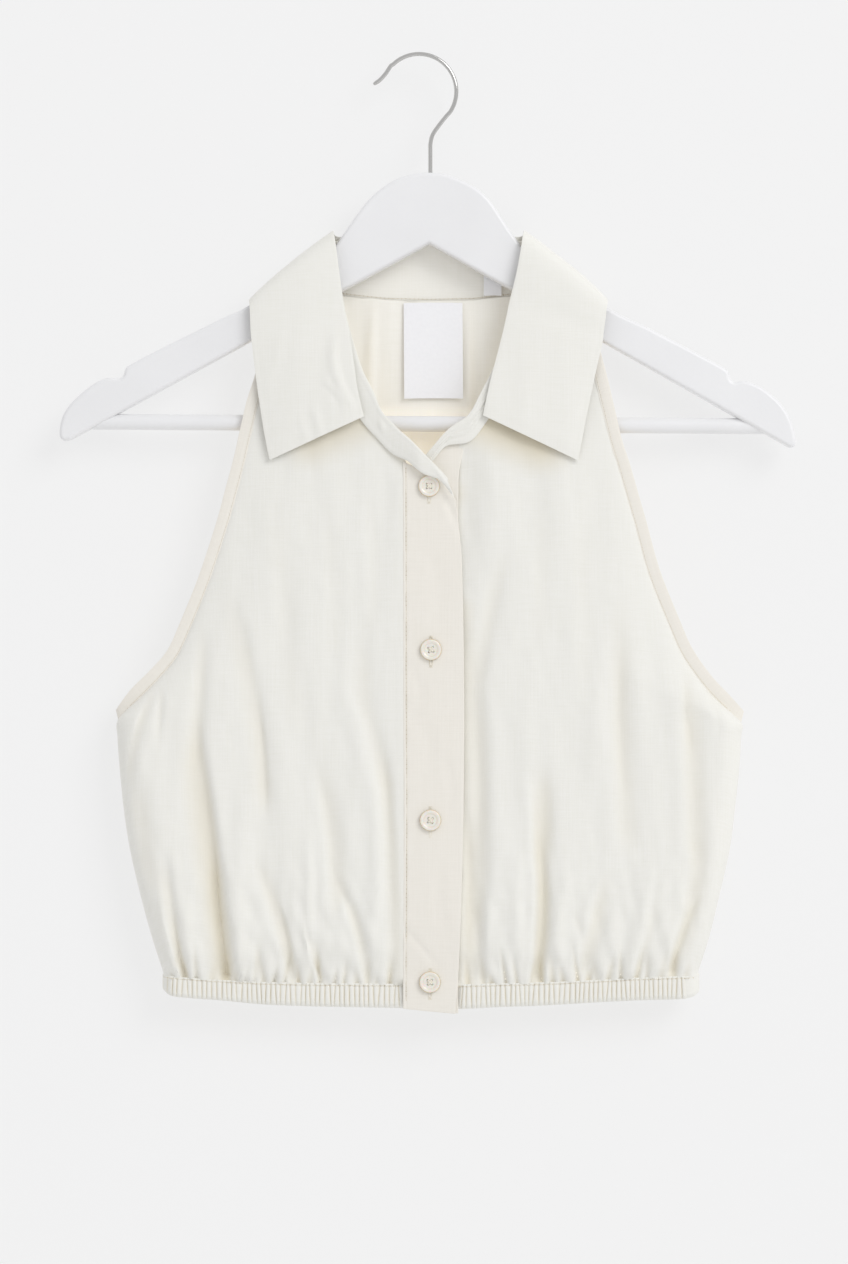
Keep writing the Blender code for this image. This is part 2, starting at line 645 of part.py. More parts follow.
def back_panel(material, collection):
    places, distances = row_places()
    outer = []
    bottom = outer_edge(-1, places[-1])[1]
    top_right, top_left = outer_edge(-1, 0), outer_edge(1, 0)
    for place, distance in zip(places, distances):
        x_right, z_right = outer_edge(-1, place)
        x_left, z_left = outer_edge(1, place)
        width = x_left - x_right
        ends = [s / width for s in EDGE_STEPS]
        plain = 1 - 2 * ends[-1]
        shares = ends[:-1] + [ends[-1] + plain * i / BACK_COLUMNS_PLAIN for i in range(BACK_COLUMNS_PLAIN)]
        shares += [1 - s for s in reversed(ends)]
        fade = 1 - soft_step((distance - SHOULDER_STEPS[-1]) / NECK_RUN)
        line = []
        for share in shares:
            x = x_right + share * width
            z = z_right + share * (z_left - z_right)
            top_x = top_right[0] + share * (top_left[0] - top_right[0])
            straight_top = top_right[1] + share * (top_left[1] - top_right[1])
            z += fade * (straight([(r[0], r[2]) for r in BACK_TOP], top_x) - straight_top)
            z += hem_shift(z_right) * (between(HEM, x, 1) + GAP - bottom)
            x_edge, z_edge = (x_right, z_right) if share < 0.5 else (x_left, z_left)
            on_shoulder = top_x < BACK_TOP[1][0] or top_x > BACK_TOP[-2][0]
            at_top = straight([(r[0], r[1]) for r in BACK_TOP], top_x)
            depth = cloth_depth(back_depth, x, z, x_edge, z_edge, SHOULDER_ROUND)
            shape = rounded(distance, SHOULDER_ROUND, 4)
            depth = at_top + (depth - at_top) * shape if distance < SHOULDER_ROUND else depth
            if on_shoulder and distance == 0:
                depth = BACK_TOP[0][1]
            line.append(Vector((x, depth, z)))
        outer.append(line[::-1])
    inner = offset_grid(outer, WALL, ("first_row", "first_column", "last_column"))
    wall_object("back", outer, inner, material, collection)


def band_grid(table, rows_between, columns, gap, lift):
    """Grid of a collar piece's outer face, across each station from its first edge to its second."""
    grid = []
    steps = (len(table) - 1) * rows_between
    for i in range(steps + 1):
        row = along(table, i / rows_between)
        first, second = Vector(row[:3]), Vector(row[3:])
        first = first + gap * (second - first).normalized()
        grid.append((first, second))
    lines = []
    for i, (first, second) in enumerate(grid):
        ahead = grid[min(i + 1, steps)]
        behind = grid[max(i - 1, 0)]
        tangent = (ahead[0] + ahead[1] - behind[0] - behind[1]).normalized()
        out = (second - first).cross(tangent).normalized() * lift[0]
        line = []
        for j in range(columns + 1):
            t = j / columns
            line.append(first.lerp(second, t) + out * lift[1] * 4 * t * (1 - t))
        lines.append(line)
    return lines


def collar_stand(material, collection):
    shared = STAND_RIGHT_FRONT[-STAND_SHARED:]
    middle = ((CENTRE, 10.6, -145.6, CENTRE, 10.3, -107.2),)
    mirrored = tuple(
        (2 * CENTRE - a, b, c, 2 * CENTRE - d, e, f) for a, b, c, d, e, f in reversed(shared)
    )
    table = STAND_RIGHT_FRONT + middle + mirrored + STAND_LEFT_FRONT
    outer = band_grid(table, 2, 2, 2 * GAP, (1, 0.6))
    wall_object("collar_stand", outer, offset_grid(outer, COLLAR_WALL), material, collection)


def collar_fall(material, collection):
    outer = band_grid(FALL_RIGHT + FALL_LEFT, 2, 4, 0.0, (-1, 1.4))
    outer = [line[::-1] for line in outer]
    wall_object("collar_fall", outer, offset_grid(outer, COLLAR_WALL), material, collection)


def armhole_binding(name, side, material, collection):
    """A flat ring of folded cloth round the armhole, down the front edge and up the back one."""
    table = ARMHOLE_RIGHT if side < 0 else ARMHOLE_LEFT
    end = len(table) - 1.0
    half_way = end - 1.0
    halves = [(d, along(table, p)) for p, d in zip(*row_places()) if p <= half_way + 0.2]
    to_end = halves[-1][0] + math.dist(table[-2][:2], table[-1][:2])
    halves += [(to_end - 3.0, along(table, end - 0.25)), (to_end, along(table, end))]
    stations = []
    for distance, row in halves:
        depth = between(DEPTHS, row[1], 3) + 0.5
        depth *= rounded(distance, SHOULDER_ROUND, 4) * rounded(to_end - distance, UNDERARM_ROUND, 2)
        stations.append((row, depth))
    ring = [(row, -depth) for row, depth in stations]
    ring += [(row, depth) for row, depth in reversed(stations[1:-1])]
    edges = [(Vector((r[0], y, r[1])), Vector((r[2], y, r[3]))) for r, y in ring]
    count = len(edges)
    mesh = bpy.data.meshes.new(name)
    shape = bmesh.new()
    sections = []
    for i, (edge, stitch) in enumerate(edges):
        tangent = edges[(i + 1) % count][1] - edges[i - 1][1]
        out = side * tangent.cross(edge - stitch).normalized()
        from_shoulder = min(i, count - i)
        thick = WALL if from_shoulder < len(SHOULDER_STEPS) else BINDING_WALL
        corners = (stitch, edge, edge - thick * out, stitch - thick * out)
        sections.append([shape.verts.new(p * MM) for p in corners])
    for i in range(count):
        here, following = sections[i], sections[(i + 1) % count]
        for j in range(4):
            k = (j + 1) % 4
            shape.faces.new((here[j], here[k], following[k], following[j]))
    bmesh.ops.recalc_face_normals(shape, faces=shape.faces)
    shape.to_mesh(mesh)
    shape.free()
    finish_object(name, mesh, material, collection)


def hem_depth(x):
    """Half depth of the hem channel, closing round at the side seams."""
    from_side = min(x - HEM[0][0], HEM[-1][0] - x)
    return max(SEAM_DEPTH, HEM_DEPTH * rounded(max(from_side, 0.0), HEM_ROUND, 2))


def hem_channel(name, x_start, x_end, ribs, face, material, collection):
    """The gathered channel: ribs in its outer face, a plain inner face."""
    steps = 2 * ribs
    outer, inner = [], []
    xs = [x_start + (x_end - x_start) * i / steps for i in range(steps + 1)]
    near_side = (abs(x_start - HEM[0][0]) < 1, abs(x_end - HEM[-1][0]) < 1)
    for share in (0.0, 0.5, 1.0):
        top_line, inner_line = [], []
        for i, x in enumerate(xs):
            from_side = min(x - HEM[0][0], HEM[-1][0] - x)
            crest = RIB_HEIGHT if i % 2 and from_side > RIB_FREE else 0.0
            if share in (0.0, 1.0):
                crest *= RIB_END_SHARE
            z = between(HEM, x, 1) + share * (between(HEM, x, 2) - between(HEM, x, 1))
            y = hem_depth(x)
            top_line.append(Vector((x, face * (y + crest), z)))
            shift = 0.0
            if near_side[0] and i == 0:
                shift = HEM_WALL
            if near_side[1] and i == steps:
                shift = -HEM_WALL
            inner_y = max(SEAM_DEPTH, y - HEM_WALL) if shift == 0.0 else SEAM_DEPTH
            inner_line.append(Vector((x + shift, face * inner_y, z)))
        outer.append(top_line if face < 0 else top_line[::-1])
        if share in (0.0, 1.0):
            inner.append(inner_line if face < 0 else inner_line[::-1])
    wall_object(name, outer, inner, material, collection)


def strip(name, edges, top, bottom, wall, y_of, material, collection):
    """A flat band between two edges, with a shaped upper and lower end."""
    shares = sorted({share for share, _ in top} | {0.5})
    outer, inner = [], []
    for height in (None, *PLACKET_ROWS, PLACKET_ROWS[-1] - 100):
        line, rear = [], []
        for share in shares:
            z = straight(top, share) if height is None else max(height, straight(bottom, share))
            left, right = between(edges, z, 1), between(edges, z, 2)
            x = left + share * (right - left)
            y = y_of(z)
            line.append(Vector((x, y, z)))
            rear.append(Vector((x, y + wall, z)))
        outer.append(line)
        inner.append(rear)
    wall_object(name, outer, inner, material, collection)


def placket_face(z):
    """y of the placket's outer face, over the front's depth and in front of the hem channel."""
    return straight([(-height, y) for height, y in PLACKET_FACE], -z)


def under_face(z):
    return placket_face(z) + PLACKET_WALL + GAP


def button(name, x, z, material, collection, cutters):
    """A turned disc with a raised rim and four holes, its face to the front."""
    radius = BUTTON_DIAMETER / 2
    profile = (
        (0.7 * radius, 0.0), (radius, 0.9), (radius, 1.9), (0.88 * radius, BUTTON_THICK),
        (0.62 * radius, 1.8),
    )
    shape = bmesh.new()
    sides = 20
    rings = []
    for r, y in profile:
        ring = []
        for i in range(sides):
            angle = 2 * math.pi * i / sides
            ring.append(shape.verts.new((r * math.cos(angle) * MM, -y * MM, r * math.sin(angle) * MM)))
        rings.append(ring)
    for below, above in zip(rings, rings[1:]):
        for i in range(sides):
            k = (i + 1) % sides
            shape.faces.new((below[i], below[k], above[k], above[i]))
    shape.faces.new(rings[0])
    shape.faces.new(rings[-1])
    bmesh.ops.recalc_face_normals(shape, faces=shape.faces)
    mesh = bpy.data.meshes.new(name)
    shape.to_mesh(mesh)
    shape.free()
    item = finish_object(name, mesh, material, collection)
    item.location = Vector((x, placket_face(z) - GAP, z)) * MM
    for i in range(4):
        angle = math.pi / 4 + i * math.pi / 2
        reach = BUTTON_HOLE_SPACING / math.sqrt(2)
        drill = bpy.data.meshes.new(f"{name}_drill_{i + 1}")
        shape = bmesh.new()
        bmesh.ops.create_cone(
            shape, cap_ends=True, segments=6, radius1=BUTTON_HOLE / 2 * MM,
            radius2=BUTTON_HOLE / 2 * MM, depth=4 * BUTTON_THICK * MM,
        )
        shape.to_mesh(drill)
        shape.free()
        cutter = bpy.data.objects.new(drill.name, drill)
        cutter.rotation_euler = (math.pi / 2, 0, 0)
        cutter.location = item.location + Vector((reach * math.cos(angle), 0, reach * math.sin(angle))) * MM
        cutter.hide_render = True
        cutter.display_type = "WIRE"
        cutters.objects.link(cutter)
        cut = item.modifiers.new(f"hole_{i + 1}", "BOOLEAN")
        cut.operation = "DIFFERENCE"
        cut.solver = "EXACT"
        cut.object = cutter


def label(name, x_left, x_right, z_top, z_bottom, y, material, collection):
    """A small flat strip of woven tape that hangs at the neck seam."""
    mesh = bpy.data.meshes.new(name)
    shape = bmesh.new()
    bmesh.ops.create_cube(shape, size=1.0)
    size = Vector((x_right - x_left, TAPE_WALL, z_top - z_bottom)) * MM
    bmesh.ops.scale(shape, vec=size, verts=shape.verts)
    middle = Vector(((x_left + x_right) / 2, y, (z_top + z_bottom) / 2)) * MM
    bmesh.ops.translate(shape, vec=middle, verts=shape.verts)
    shape.to_mesh(mesh)
    shape.free()
    finish_object(name, mesh, material, collection)


def hanger_body(material, collection):
    """A flat board cut to the hanger's outline, with its long edges rounded."""
    outline = [HEAD_TOP, *HANGER_RIGHT_SIDE, HANGER_UNDER, *reversed(HANGER_LEFT_SIDE)]
    mesh = bpy.data.meshes.new("hanger_body")
    shape = bmesh.new()
    half = HANGER_THICK / 2
    corners = [shape.verts.new((x * MM, -half * MM, z * MM)) for x, z in outline]
    face = shape.faces.new(corners)
    grown = bmesh.ops.extrude_face_region(shape, geom=[face])
    moved = [v for v in grown["geom"] if isinstance(v, bmesh.types.BMVert)]
    bmesh.ops.translate(shape, vec=(0, HANGER_THICK * MM, 0), verts=moved)
    bmesh.ops.recalc_face_normals(shape, faces=shape.faces)
    rims = [e for e in shape.edges if abs(e.verts[0].co.y - e.verts[1].co.y) < 0.1 * MM]
    bmesh.ops.bevel(
        shape, geom=rims, offset=HANGER_ROUND * MM, segments=2, profile=0.5,
        affect="EDGES", clamp_overlap=True,
    )
    bmesh.ops.triangulate(shape, faces=[f for f in shape.faces if len(f.verts) > 4])
    shape.to_mesh(mesh)
    shape.free()
    finish_object("hanger_body", mesh, material, collection)


def hanger_bar(material, collection):
    """A round rod, its ends cut to the slope of the arms that it is let into."""
    start, end = (Vector((x, 0, z)) for x, z in BAR_ENDS)
    mesh = bpy.data.meshes.new("hanger_bar")
    shape = bmesh.new()
    bmesh.ops.create_cone(
        shape, cap_ends=True, segments=24, radius1=BAR_DIAMETER / 2 * MM,
        radius2=BAR_DIAMETER / 2 * MM, depth=((end - start).length + 60) * MM,
    )
    turn = Vector((0, 0, 1)).rotation_difference((end - start).normalized())
    bmesh.ops.rotate(shape, matrix=turn.to_matrix(), verts=shape.verts)
    bmesh.ops.translate(shape, vec=(start + end) / 2 * MM, verts=shape.verts)
    corner = Vector((HANGER_UNDER[0], 0, HANGER_UNDER[1]))
    for outline in (HANGER_RIGHT_SIDE, HANGER_LEFT_SIDE):
        tip = Vector((outline[-1][0], 0, outline[-1][1]))
        slope = (tip - corner).normalized()
        outward = Vector((-slope.z, 0, slope.x))
        if outward.z < 0:
            outward.negate()
        bmesh.ops.bisect_plane(
            shape, geom=shape.verts[:] + shape.edges[:] + shape.faces[:], dist=0.00001 * MM,
            plane_co=(corner - GAP * outward) * MM, plane_no=outward, clear_outer=True,
        )
        rim = [e for e in shape.edges if e.is_boundary]
        bmesh.ops.edgeloop_fill(shape, edges=rim)
    bmesh.ops.recalc_face_normals(shape, faces=shape.faces)
    shape.to_mesh(mesh)
    shape.free()
    finish_object("hanger_bar", mesh, material, collection)


def hanger_hook(material, collection):
    """Bent wire: shaft, neck, three quarters of a circle and a short tail that turns out."""
    arc = []
    first, last = (math.radians(angle) for angle in HOOK_ANGLES)
    steps = 22
    for i in range(steps + 1):
        angle = first + (last - first) * i / steps
        arc.append((
            HOOK_CENTRE[0] + HOOK_RADIUS * math.cos(angle),
            HOOK_CENTRE[1] + HOOK_RADIUS * math.sin(angle),
        ))
    route = [*HOOK_SHAFT, *HOOK_NECK, *arc, *HOOK_TAIL]
    curve = bpy.data.curves.new("hanger_hook", "CURVE")
    curve.dimensions = "3D"
    curve.bevel_depth = WIRE / 2 * MM
    curve.bevel_resolution = 2
    curve.use_fill_caps = True
    spline = curve.splines.new("POLY")
    spline.points.add(len(route) - 1)
    for point, (x, z) in zip(spline.points, route):
        point.co = (x * MM, 0, z * MM, 1)
    mesh_from_curve("hanger_hook", curve, material, collection)


def build():
    clear_scene()
    parts = new_collection("crop_top_on_hanger")
    cutters = new_collection("cutters")
    cloth = make_material("cream_cotton", (0.86, 0.83, 0.75), 0.85)
    tape = make_material("white_tape", (0.90, 0.90, 0.88), 0.8)
    paint = make_material("white_paint", (0.84, 0.84, 0.85), 0.35)
    chrome = make_material("chrome_wire", (0.60, 0.60, 0.62), 0.2, 1.0)
    resin = make_material("cream_resin", (0.82, 0.78, 0.68), 0.3)

    hanger_body(paint, parts)
    hanger_bar(paint, parts)
    hanger_hook(chrome, parts)
    front_panel("front_right", -1, cloth, parts)
    front_panel("front_left", 1, cloth, parts)
    back_panel(cloth, parts)
    strip("placket", PLACKET_EDGES, PLACKET_TOP, PLACKET_BOTTOM, PLACKET_WALL, placket_face, cloth, parts)
    strip("under_placket", UNDER_EDGES, UNDER_TOP, PLACKET_BOTTOM, UNDER_WALL, under_face, cloth, parts)
    collar_stand(cloth, parts)
    collar_fall(cloth, parts)
    armhole_binding("armhole_binding_right", -1, cloth, parts)
    armhole_binding("armhole_binding_left", 1, cloth, parts)
    hem_channel("hem_channel_front_right", HEM[0][0], -9.8, RIBS_RIGHT, -1, cloth, parts)
    hem_channel("hem_channel_front_left", 24.4, HEM[-1][0], RIBS_LEFT, -1, cloth, parts)
    hem_channel("hem_channel_back", HEM[0][0], HEM[-1][0], RIBS_BACK, 1, cloth, parts)
    for number, (x, z) in enumerate(BUTTONS, start=1):
        button(f"button_{number}", x, z, resin, parts, cutters)
    label("neck_label", -9.2, 26.4, -146.6, -204.4, 7.6, tape, parts)
    label("size_tab", 38.6, 49.4, -126.6, -142.8, 8.2, tape, parts)


build()
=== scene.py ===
"""A sleeveless crop top on a wooden hanger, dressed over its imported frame.

The origin is the inside of the hook's arc. +X is to the right as the front is looked at, +Y runs to
the back and +Z up. Sizes are in millimetres until they become a mesh.
"""

import math

import bpy
import numpy as np
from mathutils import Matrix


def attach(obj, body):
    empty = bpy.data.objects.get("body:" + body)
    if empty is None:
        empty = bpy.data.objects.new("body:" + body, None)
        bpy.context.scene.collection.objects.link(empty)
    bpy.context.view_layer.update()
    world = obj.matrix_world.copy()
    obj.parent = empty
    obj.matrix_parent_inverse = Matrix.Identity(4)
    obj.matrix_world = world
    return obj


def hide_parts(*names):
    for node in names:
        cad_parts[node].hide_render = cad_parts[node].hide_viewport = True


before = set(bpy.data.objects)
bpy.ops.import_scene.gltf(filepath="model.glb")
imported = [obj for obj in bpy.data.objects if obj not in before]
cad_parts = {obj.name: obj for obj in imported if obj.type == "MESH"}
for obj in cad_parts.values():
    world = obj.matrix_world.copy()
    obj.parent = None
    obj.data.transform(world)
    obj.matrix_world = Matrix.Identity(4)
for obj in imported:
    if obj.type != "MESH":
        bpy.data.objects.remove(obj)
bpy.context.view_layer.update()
MM = 0.001

# Hanger board: a beech blank 13 mm thick, sawn to its outline with a strap notch in each arm, its
# long edges rounded over, and sprayed with white satin lacquer. The lacquer hides the grain, and
# leaves a fine orange peel and a soft shine.
BOARD_THICK = 13.0
BOARD_ROUND = 2.2
ROUND_STEPS = 4
FACING = 0.9
HEAD_TOP = (6.5, -70.1)
RIGHT_ARM = (
    (-3.0, -70.8), (-11.3, -73.1), (-18.0, -76.6), (-23.2, -80.2), (-29.2, -85.6), (-35.1, -92.7),
    (-41.1, -101.2), (-50.0, -113.5), (-56.0, -118.3), (-100.6, -148.7), (-118.5, -157.6), (-154.2, -175.2),
    (-172.0, -184.6), (-175.0, -187.4), (-176.0, -190.8), (-178.8, -192.8), (-184.0, -192.2),
    (-189.9, -193.9), (-195.9, -197.5), (-201.8, -202.3), (-207.8, -208.2), (-212.0, -214.8),
    (-213.9, -221.5), (-214.0, -227.4), (-211.6, -229.8), (-207.6, -229.2),
)
LEFT_ARM = (
    (16.0, -71.2), (24.4, -74.2), (30.8, -77.4), (36.3, -80.8), (42.3, -86.7), (48.2, -95.2),
    (54.2, -104.4), (60.1, -112.4), (66.0, -117.6), (111.3, -149.9), (137.5, -163.0), (167.3, -178.6),
    (182.0, -186.6), (184.6, -189.4), (185.6, -193.0), (188.4, -195.2), (194.1, -194.2),
    (203.0, -197.5), (209.0, -201.7), (214.9, -207.0), (219.7, -213.6), (222.9, -221.5),
    (224.5, -229.0), (224.2, -232.6), (221.4, -233.9), (217.2, -231.7),
)
ARMS_MEET = (6.3, -112.4)


def along(table, places):
    """Smooth rows of a table at places counted in rows."""
    table = np.array(table, float)
    last = len(table) - 1
    places = np.clip(np.atleast_1d(np.asarray(places, float)), 0, last)
    i = np.minimum(places.astype(int), last - 1)
    t = (places - i)[:, None]
    p0, p1, p2, p3 = (table[np.clip(i + k, 0, last)] for k in (-1, 0, 1, 2))
    bend = t**2 * (2 * p0 - 5 * p1 + 4 * p2 - p3) + t**3 * (3 * p1 - p0 - 3 * p2 + p3)
    return p1 + 0.5 * (t * (p2 - p0) + bend)


def smooth_line(points, parts):
    """A smooth line through the points, with so many parts between one and the next."""
    return along(points, np.linspace(0, len(points) - 1, (len(points) - 1) * parts + 1))


def linear(code):
    """A six-figure sRGB hex colour as the linear colour a shader takes."""
    parts = [int(code[k : k + 2], 16) / 255 for k in (1, 3, 5)]
    return (*((c / 12.92 if c <= 0.04045 else ((c + 0.055) / 1.055) ** 2.4) for c in parts), 1.0)


def add_node(material, kind, values=(), links=(), **settings):
    """A shader node with its settings, the values of its inputs and what is linked to them."""
    node = material.node_tree.nodes.new(kind)
    for name, value in settings.items():
        setattr(node, name, value)
    for name, value in dict(values).items():
        node.inputs[name].default_value = value
    for name, source in dict(links).items():
        material.node_tree.links.new(source, node.inputs[name])
    return node


def new_material(name, **values):
    """A material and its main shader, with the shader's plain values set."""
    material = bpy.data.materials.new(name)
    material.use_nodes = True
    shader = material.node_tree.nodes["Principled BSDF"]
    for key, value in values.items():
        shader.inputs[key.replace("_", " ")].default_value = value
    return material, shader


def join(material, source, shader, socket):
    """Links a pattern to an input of the main shader."""
    material.node_tree.links.new(source, shader.inputs[socket])


def dress(piece, node, material):
    """The piece takes its finish, rides on the only body and stands for its CAD nodes."""
    piece.data.materials.clear()
    piece.data.materials.append(material)
    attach(piece, "root")
    for name in (node,) if isinstance(node, str) else node:
        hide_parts(name)
    return piece


def deselect():
    bpy.ops.object.select_all(action="DESELECT")


def pick_faces(mesh_object, chosen):
    """In edit mode, selects the faces that the test chooses and nothing else."""
    bpy.ops.mesh.select_mode(type="FACE")
    bpy.ops.mesh.select_all(action="DESELECT")
    bpy.ops.object.mode_set(mode="OBJECT")
    for face in mesh_object.data.polygons:
        face.select = chosen(face)
    bpy.ops.object.mode_set(mode="EDIT")


lacquer, lacquer_shader = new_material(
    "satin_lacquer_on_beech", Roughness=0.36, IOR=1.5, Coat_Weight=0.25, Coat_Roughness=0.3
)
where = add_node(lacquer, "ShaderNodeTexCoord").outputs["Object"]
peel = add_node(lacquer, "ShaderNodeTexNoise", {"Scale": 420.0, "Detail": 3.0}, {"Vector": where})
cloud = add_node(lacquer, "ShaderNodeTexNoise", {"Scale": 22.0, "Detail": 2.0}, {"Vector": where})
tone = add_node(lacquer, "ShaderNodeValToRGB", links={"Fac": cloud.outputs["Fac"]})
tone.color_ramp.elements[0].color = linear("#EBEBEC")
tone.color_ramp.elements[1].color = linear("#F3F3F4")
bump = add_node(
    lacquer, "ShaderNodeBump", {"Strength": 0.12, "Distance": 0.0004}, {"Height": peel.outputs["Fac"]}
)
join(lacquer, tone.outputs["Color"], lacquer_shader, "Base Color")
join(lacquer, bump.outputs["Normal"], lacquer_shader, "Normal")

upper = [*reversed(LEFT_ARM), HEAD_TOP, *RIGHT_ARM]
outline = [*smooth_line(upper, 4), ARMS_MEET]
deselect()
bpy.ops.mesh.primitive_circle_add(vertices=len(outline), radius=0.1, fill_type="NOTHING")
board = bpy.context.object
board.name = board.data.name = "hanger_board"
wall_half = (BOARD_THICK / 2 - BOARD_ROUND) * MM
for vertex, (x, z) in zip(board.data.vertices, outline):
    vertex.co = (x * MM, -wall_half, z * MM)
bpy.ops.object.mode_set(mode="EDIT")
bpy.ops.mesh.select_all(action="SELECT")
bpy.ops.mesh.edge_face_add()
bpy.ops.mesh.extrude_region_move(TRANSFORM_OT_translate={"value": (0, 2 * wall_half, 0)})
bpy.ops.mesh.select_all(action="SELECT")
bpy.ops.mesh.normals_make_consistent(inside=False)
pick_faces(board, lambda face: abs(face.normal.y) > FACING)
for step in range(ROUND_STEPS):
    a, b = (math.pi / 2 * k / ROUND_STEPS for k in (step, step + 1))
    bpy.ops.mesh.inset(
        thickness=BOARD_ROUND * MM * (math.cos(a) - math.cos(b)),
        depth=BOARD_ROUND * MM * (math.sin(b) - math.sin(a)), use_even_offset=True,
    )
bpy.ops.object.mode_set(mode="OBJECT")
bpy.ops.object.shade_smooth_by_angle(angle=math.radians(32))
bpy.ops.object.modifier_add(type="WEIGHTED_NORMAL")
board.modifiers[0].keep_sharp = True
bpy.ops.object.modifier_apply(modifier=board.modifiers[0].name)
dress(board, "hanger_body", lacquer)

# Trouser bar: a beech rod, 9.5 mm thick, glued into a hole in each arm and lacquered with the board.
BAR_DIAMETER = 9.5
BAR_FROM = (-198.0, -218.3)
BAR_TO = (209.0, -221.1)
BAR_CHAMFER = 0.6
bar_length = math.dist(BAR_FROM, BAR_TO)
deselect()
bpy.ops.mesh.primitive_cylinder_add(
    vertices=64, radius=BAR_DIAMETER / 2 * MM, depth=bar_length * MM,
    location=((BAR_FROM[0] + BAR_TO[0]) / 2 * MM, 0, (BAR_FROM[1] + BAR_TO[1]) / 2 * MM),
    rotation=(0, math.pi / 2 + math.atan2(BAR_FROM[1] - BAR_TO[1], BAR_TO[0] - BAR_FROM[0]), 0),
)
bar = bpy.context.object
bar.name = bar.data.name = "trouser_bar"
bpy.ops.object.transform_apply(location=True, rotation=True, scale=True)
bpy.ops.object.mode_set(mode="EDIT")
pick_faces(bar, lambda face: abs(face.normal.x) > FACING)
bpy.ops.mesh.inset(thickness=BAR_CHAMFER * MM, depth=BAR_CHAMFER * MM)
bpy.ops.object.mode_set(mode="OBJECT")
bpy.ops.object.shade_smooth_by_angle(angle=math.radians(30))
dress(bar, "hanger_bar", lacquer)

# Hook: spring steel wire, 2.5 mm thick, bent cold and screwed into the board's head. Nickel plating
# gives it a hard, clear shine with faint lines along the drawn wire.
WIRE = 2.5
HOOK_FOOT = ((6.8, -73.5), (6.8, -66.0), (6.8, -58.0), (6.9, -52.0))
HOOK_NECK = ((8.4, -46.6), (12.6, -40.6), (16.6, -35.6))
HOOK_CENTRE = (0.0, -21.1)
HOOK_RADIUS = 22.3
HOOK_ARC = (-34, 134)
HOOK_TAIL = ((-16.9, -6.0), (-19.8, -10.4), (-23.4, -14.4), (-27.2, -17.0))
# Shares of the wire's thickness at the tail's last points, from its rounded end backwards
TAIL_END = (0.45, 0.86, 0.98)


def select_only(piece):
    """Makes a piece the active one, with nothing else selected."""
    deselect()
    piece.select_set(True)
    bpy.context.view_layer.objects.active = piece


def turn_outwards(piece, merge_within=0.0):
    """Merges a closed mesh's double points, where asked to, and points its faces outwards."""
    select_only(piece)
    bpy.ops.object.mode_set(mode="EDIT")
    bpy.ops.mesh.select_all(action="SELECT")
    if merge_within:
        bpy.ops.mesh.remove_doubles(threshold=merge_within * MM)
    bpy.ops.mesh.normals_make_consistent(inside=False)
    bpy.ops.object.mode_set(mode="OBJECT")


def round_strand(name, route, thickness, steps, end_shares=()):
    """A round wire or thread along a route, with shares of its thickness at its last points."""
    bpy.ops.curve.primitive_bezier_curve_add()
    strand = bpy.context.object
    strand.name = name
    strand.data.splines.clear()
    strand.data.dimensions = "3D"
    strand.data.bevel_depth = thickness / 2 * MM
    strand.data.bevel_resolution = steps
    strand.data.use_fill_caps = True
    middle = strand.data.splines.new("POLY")
    middle.points.add(len(route) - 1)
    for point, (x, y, z) in zip(middle.points, route):
        point.co = (x * MM, y * MM, z * MM, 1)
    for back_from_end, share in enumerate(end_shares):
        middle.points[-1 - back_from_end].radius = share
    select_only(strand)
    bpy.ops.object.convert(target="MESH")
    strand = bpy.context.object
    strand.data.name = name
    return strand


nickel, nickel_shader = new_material(
    "nickel_plated_steel_wire", Base_Color=linear("#C9C8C6"), Metallic=1.0
)
where = add_node(nickel, "ShaderNodeTexCoord").outputs["Object"]
draw_lines = add_node(nickel, "ShaderNodeTexNoise", {"Scale": 900.0, "Detail": 4.0}, {"Vector": where})
smudge = add_node(nickel, "ShaderNodeTexNoise", {"Scale": 60.0, "Detail": 2.0}, {"Vector": where})
matt = add_node(
    nickel, "ShaderNodeMapRange", {"To Min": 0.12, "To Max": 0.24}, {"Value": smudge.outputs["Fac"]}
)
bump = add_node(
    nickel, "ShaderNodeBump", {"Strength": 0.06, "Distance": 0.0002},
    {"Height": draw_lines.outputs["Fac"]},
)
join(nickel, matt.outputs["Result"], nickel_shader, "Roughness")
join(nickel, bump.outputs["Normal"], nickel_shader, "Normal")

arc = [
    (HOOK_CENTRE[0] + HOOK_RADIUS * math.cos(a), HOOK_CENTRE[1] + HOOK_RADIUS * math.sin(a))
    for a in np.radians(np.linspace(*HOOK_ARC, 25))
]
bends = smooth_line([*HOOK_FOOT, *HOOK_NECK, *arc, *HOOK_TAIL], 4)
hook = round_strand("wire_hook", [(x, 0, z) for x, z in bends], WIRE, 6, TAIL_END)
turn_outwards(hook, merge_within=0.01)
bpy.ops.object.shade_smooth_by_angle(angle=math.radians(60))
dress(hook, "hanger_hook", nickel)

# Fronts: two panels of plain-woven cream cotton, cut on the straight grain, with fullness that the
# elastic hem draws into soft folds. The wearer's right front carries the placket, and the left one
# runs under it. Threads are about 0.35 mm apart; the weave is drawn at 0.8 mm so that it shows.
CLOTH_WALL = 0.5
THREAD_SPACING = 0.8
# How wide one band of a wave texture is at scale 1
WAVE_PERIOD = 0.31416
